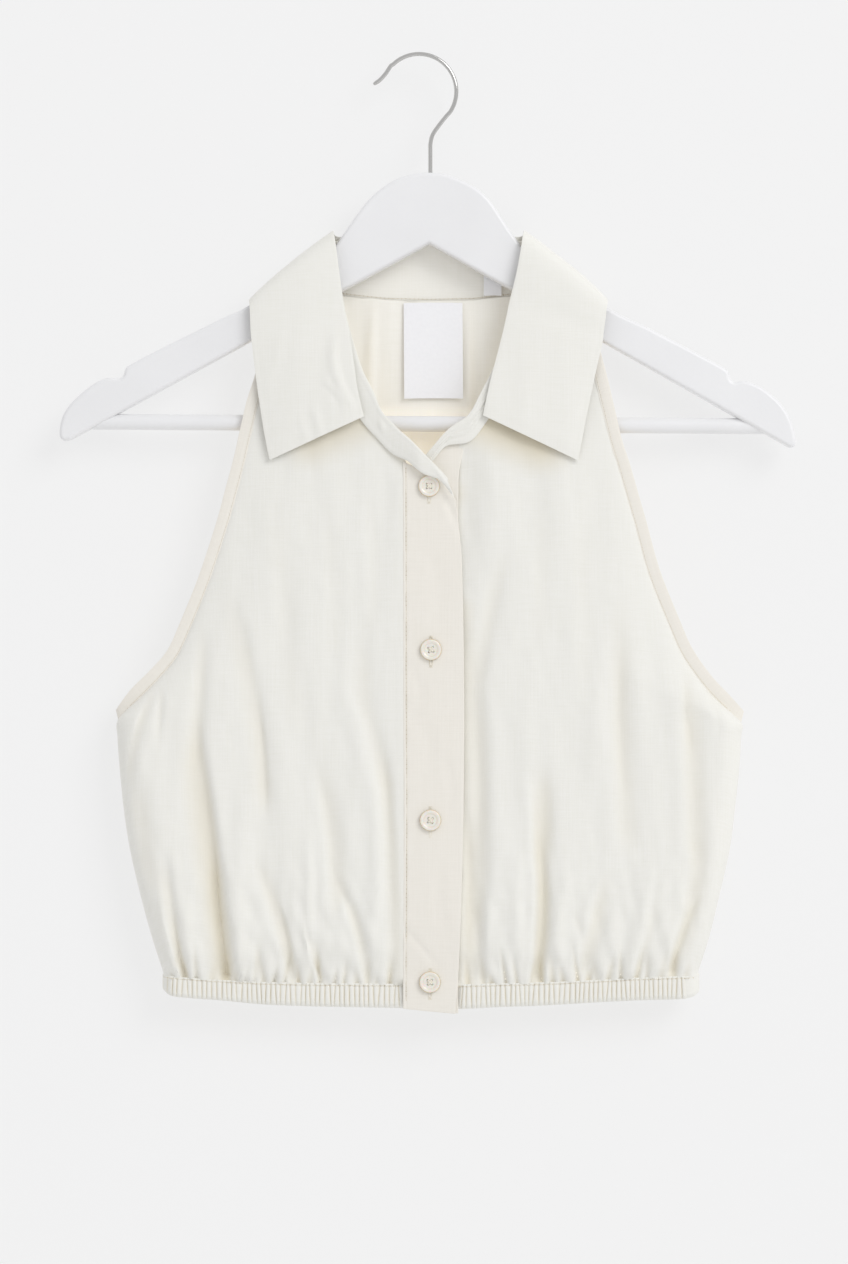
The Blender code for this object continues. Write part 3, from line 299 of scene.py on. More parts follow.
# Columns: x_edge, z_edge, x_stitch, z_stitch
ARMHOLE_RIGHT = (
    (-87.5, -137.5, -80.9, -132.9),
    (-91.1, -157.0, -83.9, -158.4),
    (-94.1, -174.9, -86.8, -176.2),
    (-97.6, -190.9, -90.4, -193.0),
    (-102.4, -205.8, -95.3, -208.0),
    (-106.6, -223.7, -99.4, -225.4),
    (-110.7, -241.6, -103.5, -243.2),
    (-115.5, -259.4, -108.2, -261.6),
    (-120.3, -277.3, -113.2, -279.6),
    (-131.0, -310.0, -124.0, -312.6),
    (-142.3, -338.0, -135.6, -341.6),
    (-150.0, -354.7, -143.8, -358.8),
    (-160.2, -366.6, -154.8, -372.2),
    (-172.1, -378.5, -167.4, -384.8),
    (-181.0, -390.4, -179.6, -396.0),
)
ARMHOLE_LEFT = (
    (100.0, -137.5, 93.4, -132.9),
    (103.4, -157.0, 96.2, -158.4),
    (107.9, -176.1, 100.7, -178.0),
    (112.5, -193.9, 105.2, -196.0),
    (116.7, -211.8, 109.4, -213.6),
    (120.9, -229.6, 113.9, -231.8),
    (125.6, -244.0, 118.4, -246.2),
    (131.2, -263.5, 123.9, -265.4),
    (135.2, -277.3, 128.0, -279.5),
    (143.5, -307.0, 136.3, -309.5),
    (155.4, -336.8, 148.5, -340.3),
    (163.0, -353.8, 156.6, -358.2),
    (174.5, -370.2, 168.8, -375.5),
    (184.5, -380.8, 179.4, -387.0),
    (194.0, -391.2, 192.4, -397.8),
)
# Columns: z, x_right, x_left
SIDE_SEAMS = (
    (-407.0, -180.0, 192.4),
    (-426.0, -178.6, 191.2),
    (-450.0, -176.2, 188.6),
    (-474.0, -172.6, 185.6),
    (-503.5, -166.1, 179.3),
    (-530.3, -159.0, 172.9),
    (-552.0, -152.0, 166.0),
)
# Columns: z_side, x, z
NECK_RIGHT = (
    (-132.9, -72.0, -126.4),
    (-141.8, -71.2, -133.5),
    (-159.2, -70.3, -143.0),
    (-176.4, -67.3, -157.5),
    (-193.5, -59.8, -177.3),
    (-210.1, -44.0, -203.5),
    (-227.1, -29.5, -224.0),
    (-244.1, -10.4, -241.2),
    (-261.0, -9.8, -259.4),
    (-277.8, -9.8, -277.8),
)
NECK_LEFT = (
    (-132.9, 84.6, -126.4),
    (-141.7, 83.8, -133.5),
    (-159.2, 82.6, -143.0),
    (-178.2, 78.6, -158.5),
    (-196.5, 71.8, -177.3),
    (-215.9, 57.0, -202.5),
    (-233.3, 42.0, -218.5),
    (-247.1, 29.4, -231.2),
    (-264.9, 25.2, -256.0),
    (-278.0, 24.4, -278.0),
)
# Columns: z, front, back, armhole
DEPTHS = (
    (-126.0, 8.7, 8.9, 8.7),
    (-160.0, 9.4, 9.8, 8.8),
    (-200.0, 10.4, 10.6, 8.4),
    (-250.0, 11.4, 11.4, 7.6),
    (-310.0, 12.6, 12.2, 6.6),
    (-360.0, 13.4, 12.8, 5.2),
    (-400.0, 14.0, 13.2, 4.0),
    (-450.0, 14.6, 14.0, 4.0),
    (-500.0, 15.6, 15.2, 4.0),
    (-532.0, 15.0, 14.8, 4.0),
    (-546.0, 11.6, 11.6, 4.0),
    (-556.0, 9.6, 9.6, 4.0),
)
# Columns: x, z_top, z_bottom of the hem channel
HEM = (
    (-153.0, -548.0, -556.8),
    (-148.3, -548.6, -560.3),
    (-136.3, -549.6, -561.9),
    (-118.5, -550.8, -563.2),
    (-94.7, -551.9, -565.5),
    (-70.9, -552.5, -566.6),
    (-11.3, -553.1, -567.8),
    (24.4, -553.4, -568.4),
    (48.2, -552.8, -567.2),
    (72.0, -552.3, -566.4),
    (107.8, -550.7, -564.3),
    (131.6, -549.4, -563.2),
    (155.0, -548.6, -562.5),
    (163.1, -548.3, -561.3),
    (167.4, -548.0, -558.4),
)
HEM_DEPTH = 9.0
HEM_LAP = 0.8
# Columns: z, y
PLACKET_FACE = (
    (-230.0, -12.4),
    (-300.0, -13.6),
    (-360.0, -14.6),
    (-450.0, -15.8),
    (-500.0, -16.4),
    (-528.0, -15.4),
    (-543.0, -13.2),
    (-572.0, -12.6),
)
# Columns: x and z of three points of the fold's line, depth, half width to its right and left as it
# is looked at. A minus depth is a ridge.
FOLDS_RIGHT = (
    (-113, -318, -99, -378, -91, -446, 2.6, 9.0, 5.0),
    (-96, -384, -92, -418, -91, -448, 1.4, 4.0, 1.6),
    (-128, -338, -131, -392, -133, -425, 2.4, 4.6, 4.2),
    (-134, -392, -124, -462, -112, -553, 7.0, 13.0, 4.0),
    (-121, -470, -118, -516, -113, -553, 3.6, 5.0, 1.3),
    (-107, -440, -106, -500, -104, -553, -2.2, 6.0, 7.0),
    (-158, -378, -166, -398, -173, -430, 2.4, 2.0, 4.6),
    (-153, -380, -154, -391, -155, -404, 1.6, 1.8, 2.4),
    (-166, -430, -163, -465, -157, -500, 2.4, 7.0, 8.0),
    (-150, -474, -147, -508, -137, -553, 3.6, 5.0, 3.4),
    (-145, -515, -142, -535, -136, -553, 2.6, 3.4, 1.2),
    (-156, -506, -152, -530, -146, -553, 1.8, 3.0, 1.8),
    (-97, -478, -86, -508, -75, -553, 3.0, 3.6, 5.4),
    (-84, -504, -77, -530, -75, -553, 2.2, 3.2, 1.4),
    (-66, -455, -65, -500, -65, -538, -1.8, 4.0, 3.0),
    (-60, -420, -52, -466, -49, -510, 2.6, 4.2, 7.4),
    (-67, -519, -63, -536, -57, -553, 3.2, 1.2, 4.0),
    (-48, -492, -38, -516, -31, -553, 3.0, 3.0, 4.4),
    (-41, -496, -46, -515, -47, -540, -1.4, 4.0, 4.0),
    (-31, -336, -30, -400, -17, -440, 1.7, 7.0, 6.0),
    (-24, -404, -16, -470, -13, -553, 3.4, 6.0, 4.0),
    (-48, -372, -36, -400, -27, -450, -1.3, 10.0, 5.0),
    (-25, -425, -24, -480, -27, -530, -1.6, 6.0, 4.0),
    (-90, -250, -80, -330, -74, -400, 0.8, 7.0, 9.0),
    (-55, -262, -52, -310, -50, -360, 0.7, 5.0, 7.0),
    (-30, -262, -26, -300, -28, -340, 0.8, 5.0, 4.0),
)
FOLDS_LEFT = (
    (32, -345, 36, -440, 33, -553, 3.2, 5.0, 6.0),
    (29, -455, 30, -490, 29, -530, 2.4, 3.0, 3.6),
    (50, -300, 43, -330, 36, -372, 2.0, 6.0, 5.0),
    (43, -490, 40, -520, 38, -545, -1.8, 4.0, 4.0),
    (67, -424, 71, -470, 69, -553, 3.0, 3.0, 9.0),
    (74, -426, 75, -446, 72, -480, 3.0, 6.0, 6.0),
    (72, -470, 74, -508, 70, -553, 4.6, 3.4, 3.2),
    (59, -470, 58, -505, 60, -540, -2.0, 6.0, 4.0),
    (88, -480, 84, -508, 82, -540, -1.8, 5.0, 5.0),
    (120, -322, 120, -390, 124, -470, 2.4, 7.0, 8.0),
    (121, -350, 119, -388, 122, -436, 1.0, 3.0, 3.4),
    (160, -366, 162, -412, 165, -480, 3.2, 6.0, 8.0),
    (159, -368, 159, -392, 161, -412, 1.4, 2.0, 3.0),
    (166, -470, 160, -515, 146, -553, 3.4, 5.0, 7.0),
    (167, -500, 158, -520, 149, -553, 2.0, 2.4, 2.0),
    (110, -490, 104, -520, 95, -553, 3.2, 4.0, 6.0),
    (93, -512, 95, -520, 97, -526, 1.6, 3.0, 3.0),
    (138, -480, 132, -518, 124, -553, -2.4, 6.0, 3.4),
    (141, -500, 136, -524, 129, -553, 1.2, 3.0, 4.0),
    (170, -372, 175, -384, 178, -396, 1.4, 2.6, 2.0),
    (183, -378, 187, -386, 190, -398, 1.0, 2.0, 2.0),
    (82, -540, 88, -541, 95, -543, 0.8, 6.0, 6.0),
    (70, -262, 72, -300, 70, -350, 0.8, 5.0, 8.0),
    (96, -262, 98, -320, 100, -380, 0.7, 8.0, 6.0),
)
# Columns: x and z of both ends of an edge that lies over a front, how far the shadow painted under it
# reaches, share
COVERS = (
    (-64.0, -228.0, -32.7, -214.0, 24.0, 0.7),
    (72.0, -228.0, 38.0, -213.4, 28.0, 1.0),
    (-32.7, -216.0, 20.0, -262.0, 12.0, 0.3),
    (27.0, -330.0, 26.5, -552.0, 10.0, 0.25),
)
SEAM_STEP = 0.3
# How far a front runs under the band beside it, and how much further the left one does
SEAM_LAP = 2.0
LEFT_LAP = 2.6
# Distances of the first columns from an edge and of the first rows from the shoulder
EDGE_STEPS = (0.0, 0.25, 0.7, 1.4, 2.4, 3.8, 5.6, 7.6, 10.0)
SHOULDER_STEPS = (0.0, 0.15, 0.5, 1.1, 2.0, 3.2, 4.8, 6.8, 9.0)
ROW_SPACING = 2.2
FRONT_COLUMNS = 128
# How far from a side seam, the shoulder, the armhole and the underarm the cloth takes its full depth
SIDE_ROUND = 15.0
SHOULDER_ROUND = 9.0
ARMHOLE_ROUND = 60.0
UNDERARM_ROUND = 34.0
GATHER_LINE = -552.0
# Depth of a fold whose painted shade is full, and how much more a small gather counts
DEEP_FOLD = 11.5
GATHER_WEIGHT = 2.2


def between(table, key, column):
    """Smooth values of a column of the table, whose first column is the key."""
    rows = np.array(sorted(table), float)
    keys, values = rows[:, 0], rows[:, column]
    slopes = np.empty(len(keys))
    slopes[1:-1] = (values[2:] - values[:-2]) / (keys[2:] - keys[:-2])
    slopes[0] = (values[1] - values[0]) / (keys[1] - keys[0])
    slopes[-1] = (values[-1] - values[-2]) / (keys[-1] - keys[-2])
    key = np.clip(key, keys[0], keys[-1])
    i = np.clip(np.searchsorted(keys, key, side="right") - 1, 0, len(keys) - 2)
    step = keys[i + 1] - keys[i]
    t = (key - keys[i]) / step
    return (
        (2 * t**3 - 3 * t**2 + 1) * values[i]
        + (t**3 - 2 * t**2 + t) * step * slopes[i]
        + (3 * t**2 - 2 * t**3) * values[i + 1]
        + (t**3 - t**2) * step * slopes[i + 1]
    )


def soft_step(value):
    """A smooth rise from 0, for values up to 0, to 1, for values from 1 on."""
    value = np.clip(value, 0.0, 1.0)
    return value * value * (3 - 2 * value)


def bell(value):
    """1 at 0, and falling smoothly to nothing on both sides."""
    return np.exp(-(value**2))


def crease(across, flanks):
    """Section of a fold, deepest in its middle, with flanks that rise a little on both sides."""
    return bell(across) - flanks * np.exp(-(across**2) / 5)


def rounded(distance, reach, power):
    """Share of the full depth at a distance from a folded edge, 0 at the edge and 1 past the reach."""
    near = np.clip(np.asarray(distance, float) / reach, 0.0, 1.0)
    return (1 - (1 - near) ** power) ** (1 / power)


def fold_depth(table, x, z):
    """How far the folds draw the cloth in, each on a smooth line through its three points."""
    total = np.zeros(np.broadcast(x, z).shape)
    for x1, z1, x2, z2, x3, z3, depth, right, left in table:
        t = np.clip((z1 - z) / (z1 - z3), 0.0, 1.0)
        t2 = (z1 - z2) / (z1 - z3)
        pull = (x2 - (1 - t2) ** 2 * x1 - t2**2 * x3) / (2 * t2 * (1 - t2))
        across = x - ((1 - t) ** 2 * x1 + 2 * t * (1 - t) * pull + t**2 * x3)
        across = across / np.where(across < 0, right, left)
        fade = soft_step((z1 + 8 - z) / (0.35 * (z1 - z3) + 8))
        if z3 > GATHER_LINE:
            fade = fade * soft_step((z - z3 + 12) / 24)
        total += depth * fade * crease(across, 0.28)
    return total


def hem_gathers(x, z, x_from, x_to, seed):
    """Small uneven gathers that start at the hem's seam and die out above it."""
    chance = np.random.default_rng(seed)
    above = np.maximum(0, z - between(HEM, x, 1))
    total = np.zeros(np.broadcast(x, z).shape)
    place = x_from + 3.0
    while place < x_to - 3.0:
        tall = chance.uniform(9.0, 30.0)
        wide = chance.uniform(1.3, 2.6)
        lean = chance.uniform(-0.28, 0.28)
        deep = chance.uniform(1.5, 3.6)
        across = (x - place - lean * above) / wide
        total += deep * soft_step(1 - above / tall) * crease(across, 0.3)
        place += chance.uniform(4.2, 9.5)
    return total


def drape(x, z, seed, height=1.0):
    """Faint long waves that hanging cloth keeps, mostly upright."""
    chance = np.random.default_rng(seed)
    total = np.zeros(np.broadcast(x, z).shape)
    for _ in range(18):
        across = chance.uniform(9.0, 46.0)
        down = chance.uniform(90.0, 320.0) * chance.choice((-1, 1))
        phase = chance.uniform(0.0, 2 * math.pi)
        wave = np.sin(2 * math.pi * (x / across + z / down) + phase)
        total += 0.006 * across * wave * (0.5 + 0.5 * np.sin(z / 37.0 + 3 * phase))
    return height * total


def crumple(x, z, seed):
    """Small soft creases in all directions, most of them in the blousing above the hem."""
    chance = np.random.default_rng(seed)
    total = np.zeros(np.broadcast(x, z).shape)
    for _ in range(22):
        length = chance.uniform(7.0, 19.0)
        turn = chance.normal(0.0, 0.55)
        bend = chance.uniform(0.3, 1.2) * np.sin(z / chance.uniform(9.0, 21.0) + chance.uniform(0, 6))
        way = x * math.cos(turn) + z * math.sin(turn)
        total += 0.008 * length * np.sin(2 * math.pi * way / length + bend + chance.uniform(0, 6))
    return total * (0.18 + 0.82 * soft_step((-462 - z) / 60)) * soft_step((-180 - z) / 80)


def outer_edge(side, places):
    """A panel's outer edge: the armhole's stitching, then the side seam."""
    armhole = ARMHOLE_RIGHT if side < 0 else ARMHOLE_LEFT
    column = 1 if side < 0 else 2
    points = [(row[2], row[3]) for row in armhole]
    points += [(row[column], row[0]) for row in SIDE_SEAMS]
    edge = along(points, places)
    under_binding = np.where(np.asarray(places) < len(armhole) - 1.5, 0.7, 0.0)
    return edge[:, 0] + side * under_binding, edge[:, 1]


def lengths_along(path):
    """How far along a path each of its points is."""
    return np.concatenate(([0], np.cumsum(np.linalg.norm(np.diff(path, axis=0), axis=1))))


def row_places():
    """Rows down the outer edge: their places in the tables and their distances from the shoulder."""
    last = len(ARMHOLE_RIGHT) + len(SIDE_SEAMS) - 1
    places = np.linspace(0, last, 40 * last + 1)
    length = lengths_along(np.stack(outer_edge(-1, places), axis=-1))
    count = round((length[-1] - SHOULDER_STEPS[-1]) / ROW_SPACING)
    rows = np.concatenate((SHOULDER_STEPS[:-1], np.linspace(SHOULDER_STEPS[-1], length[-1], count)))
    return np.interp(rows, length, places), rows


def placket_face(z):
    """Where the front of the buttonhole band lies, a smooth mean of its table."""
    table = np.array(PLACKET_FACE)
    return sum(np.interp(-(z + k), -table[:, 0], table[:, 1]) for k in (-9, -3, 3, 9)) / 4


def hem_shift(z):
    """How far a panel's rows follow the hem channel's line: 1 at the hem, 0 well above it."""
    return soft_step((-440 - z) / 112)


def shaded(x, z):
    """How much painted shadow a front takes from the collar and placket that lie over it, from 0 to 1."""
    total = np.zeros(np.broadcast(x, z).shape)
    for x1, z1, x2, z2, reach, share in COVERS:
        run = (x2 - x1) ** 2 + (z2 - z1) ** 2
        t = np.clip(((x - x1) * (x2 - x1) + (z - z1) * (z2 - z1)) / run, 0, 1)
        away = np.hypot(x - x1 - t * (x2 - x1), z - z1 - t * (z2 - z1))
        total = np.maximum(total, share * soft_step(1 - away / reach))
    return total


def armhole_depth(z, places, distance):
    """Depth of the cloth at the armhole's stitching, which closes to nothing under the arm."""
    underarm = np.interp(len(ARMHOLE_RIGHT) - 1, places, distance)
    to_end = np.maximum(underarm - distance, 0)
    return between(DEPTHS, z, 3) * rounded(to_end, UNDERARM_ROUND, 2)


def panel_depth(depth_of, x, z, x_edge, z_edge, edge, shoulder):
    """Depth of a panel's outer face: full in the middle, less towards the armhole and side seam."""
    seam = soft_step((-352 - z_edge) / 44)
    reach = ARMHOLE_ROUND + (SIDE_ROUND - ARMHOLE_ROUND) * seam
    depth = edge + (depth_of(x, z) - edge) * rounded(np.abs(x_edge - x), reach, 2)
    depth = np.maximum(depth, 0.02)
    return np.maximum(0.02, depth * rounded(shoulder, SHOULDER_ROUND, 4))


def seat_on_hem(depth, x, z):
    """Draws the panel's last millimetres in to the hem channel that it is sewn to."""
    near = soft_step((between(HEM, x, 1) + 3.5 - z) / 4.5)
    side = np.minimum(x - HEM[0][0], HEM[-1][0] - x)
    seat = np.maximum(0.02, (HEM_DEPTH + 0.5) * rounded(np.maximum(side, 0), 9.0, 2))
    return depth + (seat - depth) * near


def fold_shade_share(folds, gathers, shade=0.0):
    """Share of painted shade at each point, from 0 to 1: from its depth in a fold or gather, plus the
    painted shadow.
    """
    return np.clip((folds + gathers * GATHER_WEIGHT) / DEEP_FOLD + shade, 0, 1)


def unit(vectors):
    """The same vectors at length one."""
    return vectors / np.maximum(np.linalg.norm(vectors, axis=-1, keepdims=True), 1e-9)


def grid_normals(grid):
    """Outward unit normals of a grid of points."""
    return unit(np.cross(np.gradient(grid, axis=0), np.gradient(grid, axis=1)))


def arc_lengths(grid, axis):
    """How far along its column (axis 0) or its row (axis 1) each point of a grid is."""
    steps = np.linalg.norm(np.diff(grid, axis=axis), axis=2)
    start = np.zeros_like(steps[:1] if axis == 0 else steps[:, :1])
    return np.concatenate((start, np.cumsum(steps, axis=axis)), axis=axis)


def new_piece(name, points, faces):
    """A smooth piece from points in millimetres and its faces."""
    mesh = bpy.data.meshes.new(name)
    mesh.from_pydata((points * MM).tolist(), [], faces.tolist())
    mesh.shade_smooth()
    piece = bpy.data.objects.new(name, mesh)
    bpy.context.collection.objects.link(piece)
    return piece


def cloth_piece(name, points, faces, flat):
    """A closed piece of cloth that faces outwards, with its flat cut as a UV map."""
    piece = new_piece(name, points, faces)
    corner = np.empty(len(piece.data.loops), dtype=np.int32)
    piece.data.loops.foreach_get("vertex_index", corner)
    cut = piece.data.uv_layers.new(name="cut")
    cut.data.foreach_set("uv", (flat * MM)[corner].ravel())
    p = points[faces]
    volume = np.einsum("ij,ij->i", p[:, 0], np.cross(p[:, 1], p[:, 2]) + np.cross(p[:, 2], p[:, 3]))
    if volume.sum() < 0:
        piece.data.flip_normals()
    piece.data.set_sharp_from_angle(angle=math.radians(55))
    return piece


def set_shares(piece, name, values):
    """An attribute of the mesh's points, for the material to read."""
    piece.data.attributes.new(name, "FLOAT", "POINT").data.foreach_set("value", values)


def cloth_shell(name, grid, wall, sewn_edges=(), painted_shade=None, glow=1.0):
    """A closed shell of cloth between a grid of points and the same grid one wall further in.

    A panel with sewn edges keeps its full wall to them. Every other piece has round rims.
    """
    normals = grid_normals(grid)
    for edge in sewn_edges:
        part = {"top": np.s_[0, :], "left": np.s_[:, 0], "right": np.s_[:, -1]}[edge]
        on_seam = np.abs(grid[part][:, 1]) < 1
        normals[part][on_seam, 1] = 0
        normals[part] = unit(normals[part])
    rows, columns = grid.shape[:2]
    across, down = arc_lengths(grid, 1), arc_lengths(grid, 0)
    from_rim = np.minimum.reduce((across, across[:, -1:] - across, down, down[-1:] - down))
    full = np.ones((rows, columns)) if sewn_edges else rounded(from_rim + 0.12 * wall, 0.6 * wall, 2)
    outer = grid - normals * (wall / 2 * (1 - full))[..., None]
    inner = grid - normals * (wall / 2 * (1 + full))[..., None]
    index = np.arange(rows * columns).reshape(rows, columns)
    a, b, c, d = index[:-1, :-1], index[1:, :-1], index[1:, 1:], index[:-1, 1:]
    front = np.stack((a, b, c, d), axis=-1).reshape(-1, 4)
    rear = front[:, ::-1] + rows * columns
    rim = np.concatenate((index[0, ::-1], index[1:, 0], index[-1, 1:], index[-2:0:-1, -1]))
    ahead = np.roll(rim, -1)
    side = np.stack((rim, ahead, ahead + rows * columns, rim + rows * columns), axis=-1)[:, ::-1]
    # The grain runs straight down, and the depth of a fold counts half both ways
    grain = np.stack((grid[..., 0] + 0.5 * grid[..., 1], grid[..., 2] + 0.5 * grid[..., 1]), axis=-1)
    piece = cloth_piece(
        name, np.concatenate((outer.reshape(-1, 3), inner.reshape(-1, 3))),
        np.concatenate((front, rear, side)), np.tile(grain.reshape(-1, 2), (2, 1)),
    )
    # Painted shade on both faces of the shell, and a painted glow, for light through the cloth, on its inner
    # face only
    if painted_shade is not None:
        set_shares(piece, "painted_shade", np.tile(painted_shade.ravel(), 2))
        glowing = np.ravel(glow + 0 * painted_shade)
        set_shares(piece, "inside", np.concatenate((0 * glowing, glowing)))
    return piece


def cloth_finish(name, light, dark, fold_shade, weave=0.22):
    """Plain-woven cotton: crossing threads, a thicker one here and there, and a bloom of fibres.

    Painted shade: by the painted_shade share, the colour deepens and warms in folds, gathers and under the
    collar, for light that bounces between the cloth's sides.
    Painted glow: by the inside share, the inner side glows a little, more in the fronts, for light that
    comes through the thin cloth.
    """
    material, shader = new_material(
        name, Roughness=0.92, IOR=1.45, Sheen_Weight=0.12, Sheen_Roughness=0.5, Specular_IOR_Level=0.2,
    )
    cut = add_node(material, "ShaderNodeUVMap", uv_map="cut").outputs["UV"]
    scale = WAVE_PERIOD / (THREAD_SPACING * MM)
    warp, weft = (
        add_node(
            material, "ShaderNodeTexWave",
            {"Scale": scale, "Distortion": 1.2, "Detail": 1.0, "Detail Scale": 0.6}, {"Vector": cut},
            wave_type="BANDS", bands_direction=way,
        ).outputs["Fac"]
        for way in ("X", "Y")
    )
    crossed = add_node(material, "ShaderNodeMath", links={0: warp, 1: weft}, operation="MULTIPLY")
    along_weft, along_warp = (
        add_node(
            material, "ShaderNodeTexNoise", {"Scale": 1.0, "Detail": 3.0, "Roughness": 0.6},
            {"Vector": add_node(
                material, "ShaderNodeMapping", {"Scale": stretch}, {"Vector": cut}
            ).outputs["Vector"]},
        ).outputs["Fac"]
        for stretch in ((60.0, 1300.0, 1.0), (1300.0, 30.0, 1.0))
    )
    slub = add_node(material, "ShaderNodeMath", links={0: along_weft, 1: along_warp}, operation="ADD")
    height = add_node(
        material, "ShaderNodeMath", {1: 0.6}, {0: crossed.outputs[0], 2: slub.outputs[0]},
        operation="MULTIPLY_ADD",
    )
    bump = add_node(
        material, "ShaderNodeBump", {"Strength": weave, "Distance": 0.0002},
        {"Height": height.outputs[0]},
    )
    tone = add_node(
        material, "ShaderNodeMapRange", {"From Min": 0.7, "From Max": 1.3}, {"Value": slub.outputs[0]}
    )
    plain = add_node(material, "ShaderNodeMix", links={0: tone.outputs["Result"]}, data_type="RGBA")
    plain.inputs[6].default_value = linear(dark)
    plain.inputs[7].default_value = linear(light)
    # Painted shade: the colour moves towards the fold_shade colour by the painted_shade share
    painted_shade = add_node(material, "ShaderNodeAttribute", attribute_name="painted_shade").outputs["Fac"]
    colour = add_node(
        material, "ShaderNodeMix", links={0: painted_shade, 6: plain.outputs[2]}, data_type="RGBA"
    )
    colour.inputs[7].default_value = linear(fold_shade)
    # Painted glow: the inner side emits a warm light, by the inside share, for light through the thin cloth
    inside = add_node(material, "ShaderNodeAttribute", attribute_name="inside").outputs["Fac"]
    glow = add_node(material, "ShaderNodeMath", {1: 0.1}, {0: inside}, operation="MULTIPLY")
    shader.inputs["Emission Color"].default_value = linear("#FFF0DA")
    join(material, glow.outputs[0], shader, "Emission Strength")
    join(material, colour.outputs[2], shader, "Base Color")
    join(material, bump.outputs["Normal"], shader, "Normal")
    return material


def front_panel(side):
    """Grid of a front's outer face, rows down the armhole and columns from the neck or placket out."""
    neck = NECK_RIGHT if side < 0 else NECK_LEFT
    places, shoulder = row_places()
    x_out, z_out = outer_edge(side, places)
    in_neck = z_out > neck[-1][0]
    x_in = np.where(in_neck, between(neck, z_out, 1), neck[-1][1])
    z_in = np.where(in_neck, between(neck, z_out, 2), z_out)
    width = np.hypot(x_out - x_in, z_out - z_in)
    lap = SEAM_LAP + (0.0 if side < 0 else LEFT_LAP) * soft_step((-226 - z_out) / 20)
    x_in = x_in + (x_in - x_out) / width * lap
    z_in = z_in + (z_in - z_out) / width * lap
    width = np.abs(x_out - x_in)
    steps = np.array(EDGE_STEPS[::-1]) * np.minimum(1, width / 60)[:, None] / width[:, None]
    plain = 1 - steps[:, :1]
    shares = np.hstack((plain * np.arange(FRONT_COLUMNS) / FRONT_COLUMNS, 1 - steps))
    x = x_in[:, None] + shares * (x_out - x_in)[:, None]
    z = z_in[:, None] + shares * (z_out - z_in)[:, None]
    z += hem_shift(z_out)[:, None] * (between(HEM, x, 1) - HEM_LAP - z_out[-1])
    folds = FOLDS_RIGHT if side < 0 else FOLDS_LEFT
    span = (-150.0, -10.0) if side < 0 else (26.0, 165.0)

    def depth_of(x, z):
        depth = between(DEPTHS, z, 1) - fold_depth(folds, x, z) + drape(x, z, 11 + side, 0.8)
        depth = depth + crumple(x, z, 61 + side)
        if side < 0:
            # The right front comes up to the seam of the buttonhole band
            beside = soft_step((x + 22) / 12) * soft_step((-238 - z) / 16)
            return depth + beside * (-placket_face(z) - SEAM_STEP - depth)
        # The left front sinks, to pass under both bands
        under = 1 - soft_step((x - 24) / 22)
        depth = depth - 2.7 * under * soft_step((-225 - z) / 25)
        return depth - 0.7 * soft_step((25.5 - x) / 3) * soft_step((-236 - z) / 10)

    edge = armhole_depth(z_out, places, shoulder)[:, None]
    depth = panel_depth(depth_of, x, z, x_out[:, None], z_out[:, None], edge, shoulder[:, None])
    gathers = hem_gathers(x, z, *span, 5 + side)
    depth = np.maximum(0.02, seat_on_hem(depth, x, z) - gathers)
    grid = np.stack((x, -depth, z), axis=-1)
    # The folds, gathers and the collar's shadow are painted into the colour as shade
    painted_shade = fold_shade_share(fold_depth(folds, x, z), gathers, shaded(x, z))
    return (grid, painted_shade) if side > 0 else (grid[:, ::-1], painted_shade[:, ::-1])


# The last colour is the painted shade of folds, gathers and the collar's shadow
cotton = cloth_finish("cream_cotton_plain_weave", "#F2F1EC", "#EEEDE6", "#E2D9C2")
# The fronts' inner sides take three times the painted glow, for light through the cloth
for side, name, edge in ((-1, "front_right", "left"), (1, "front_left", "right")):
    grid, painted_shade = front_panel(side)
    panel = cloth_shell(name + "_cloth", grid, CLOTH_WALL, ("top", edge), painted_shade, glow=3.0)
    dress(panel, name, cotton)

# Back: one panel of the same cotton, whole from armhole to armhole, gathered into the hem as the
# fronts are. It can't be seen whole in front, so its folds are of the same kind, and as uneven.
# Columns: x, y, z
BACK_TOP = (
    (-80.6, 0.02, -132.9),
    (-72.0, 0.02, -126.4),
    (-70.6, 6.8, -127.0),
    (-66.0, 8.8, -134.0),
    (-45.3, 9.4, -142.6),
    (-20.0, 9.6, -145.4),
    (6.3, 9.6, -146.0),
    (32.6, 9.6, -145.4),
    (57.9, 9.4, -142.6),
    (78.6, 8.8, -134.0),
    (83.2, 6.8, -127.0),
    (84.6, 0.02, -126.4),
    (93.1, 0.02, -132.9),
)
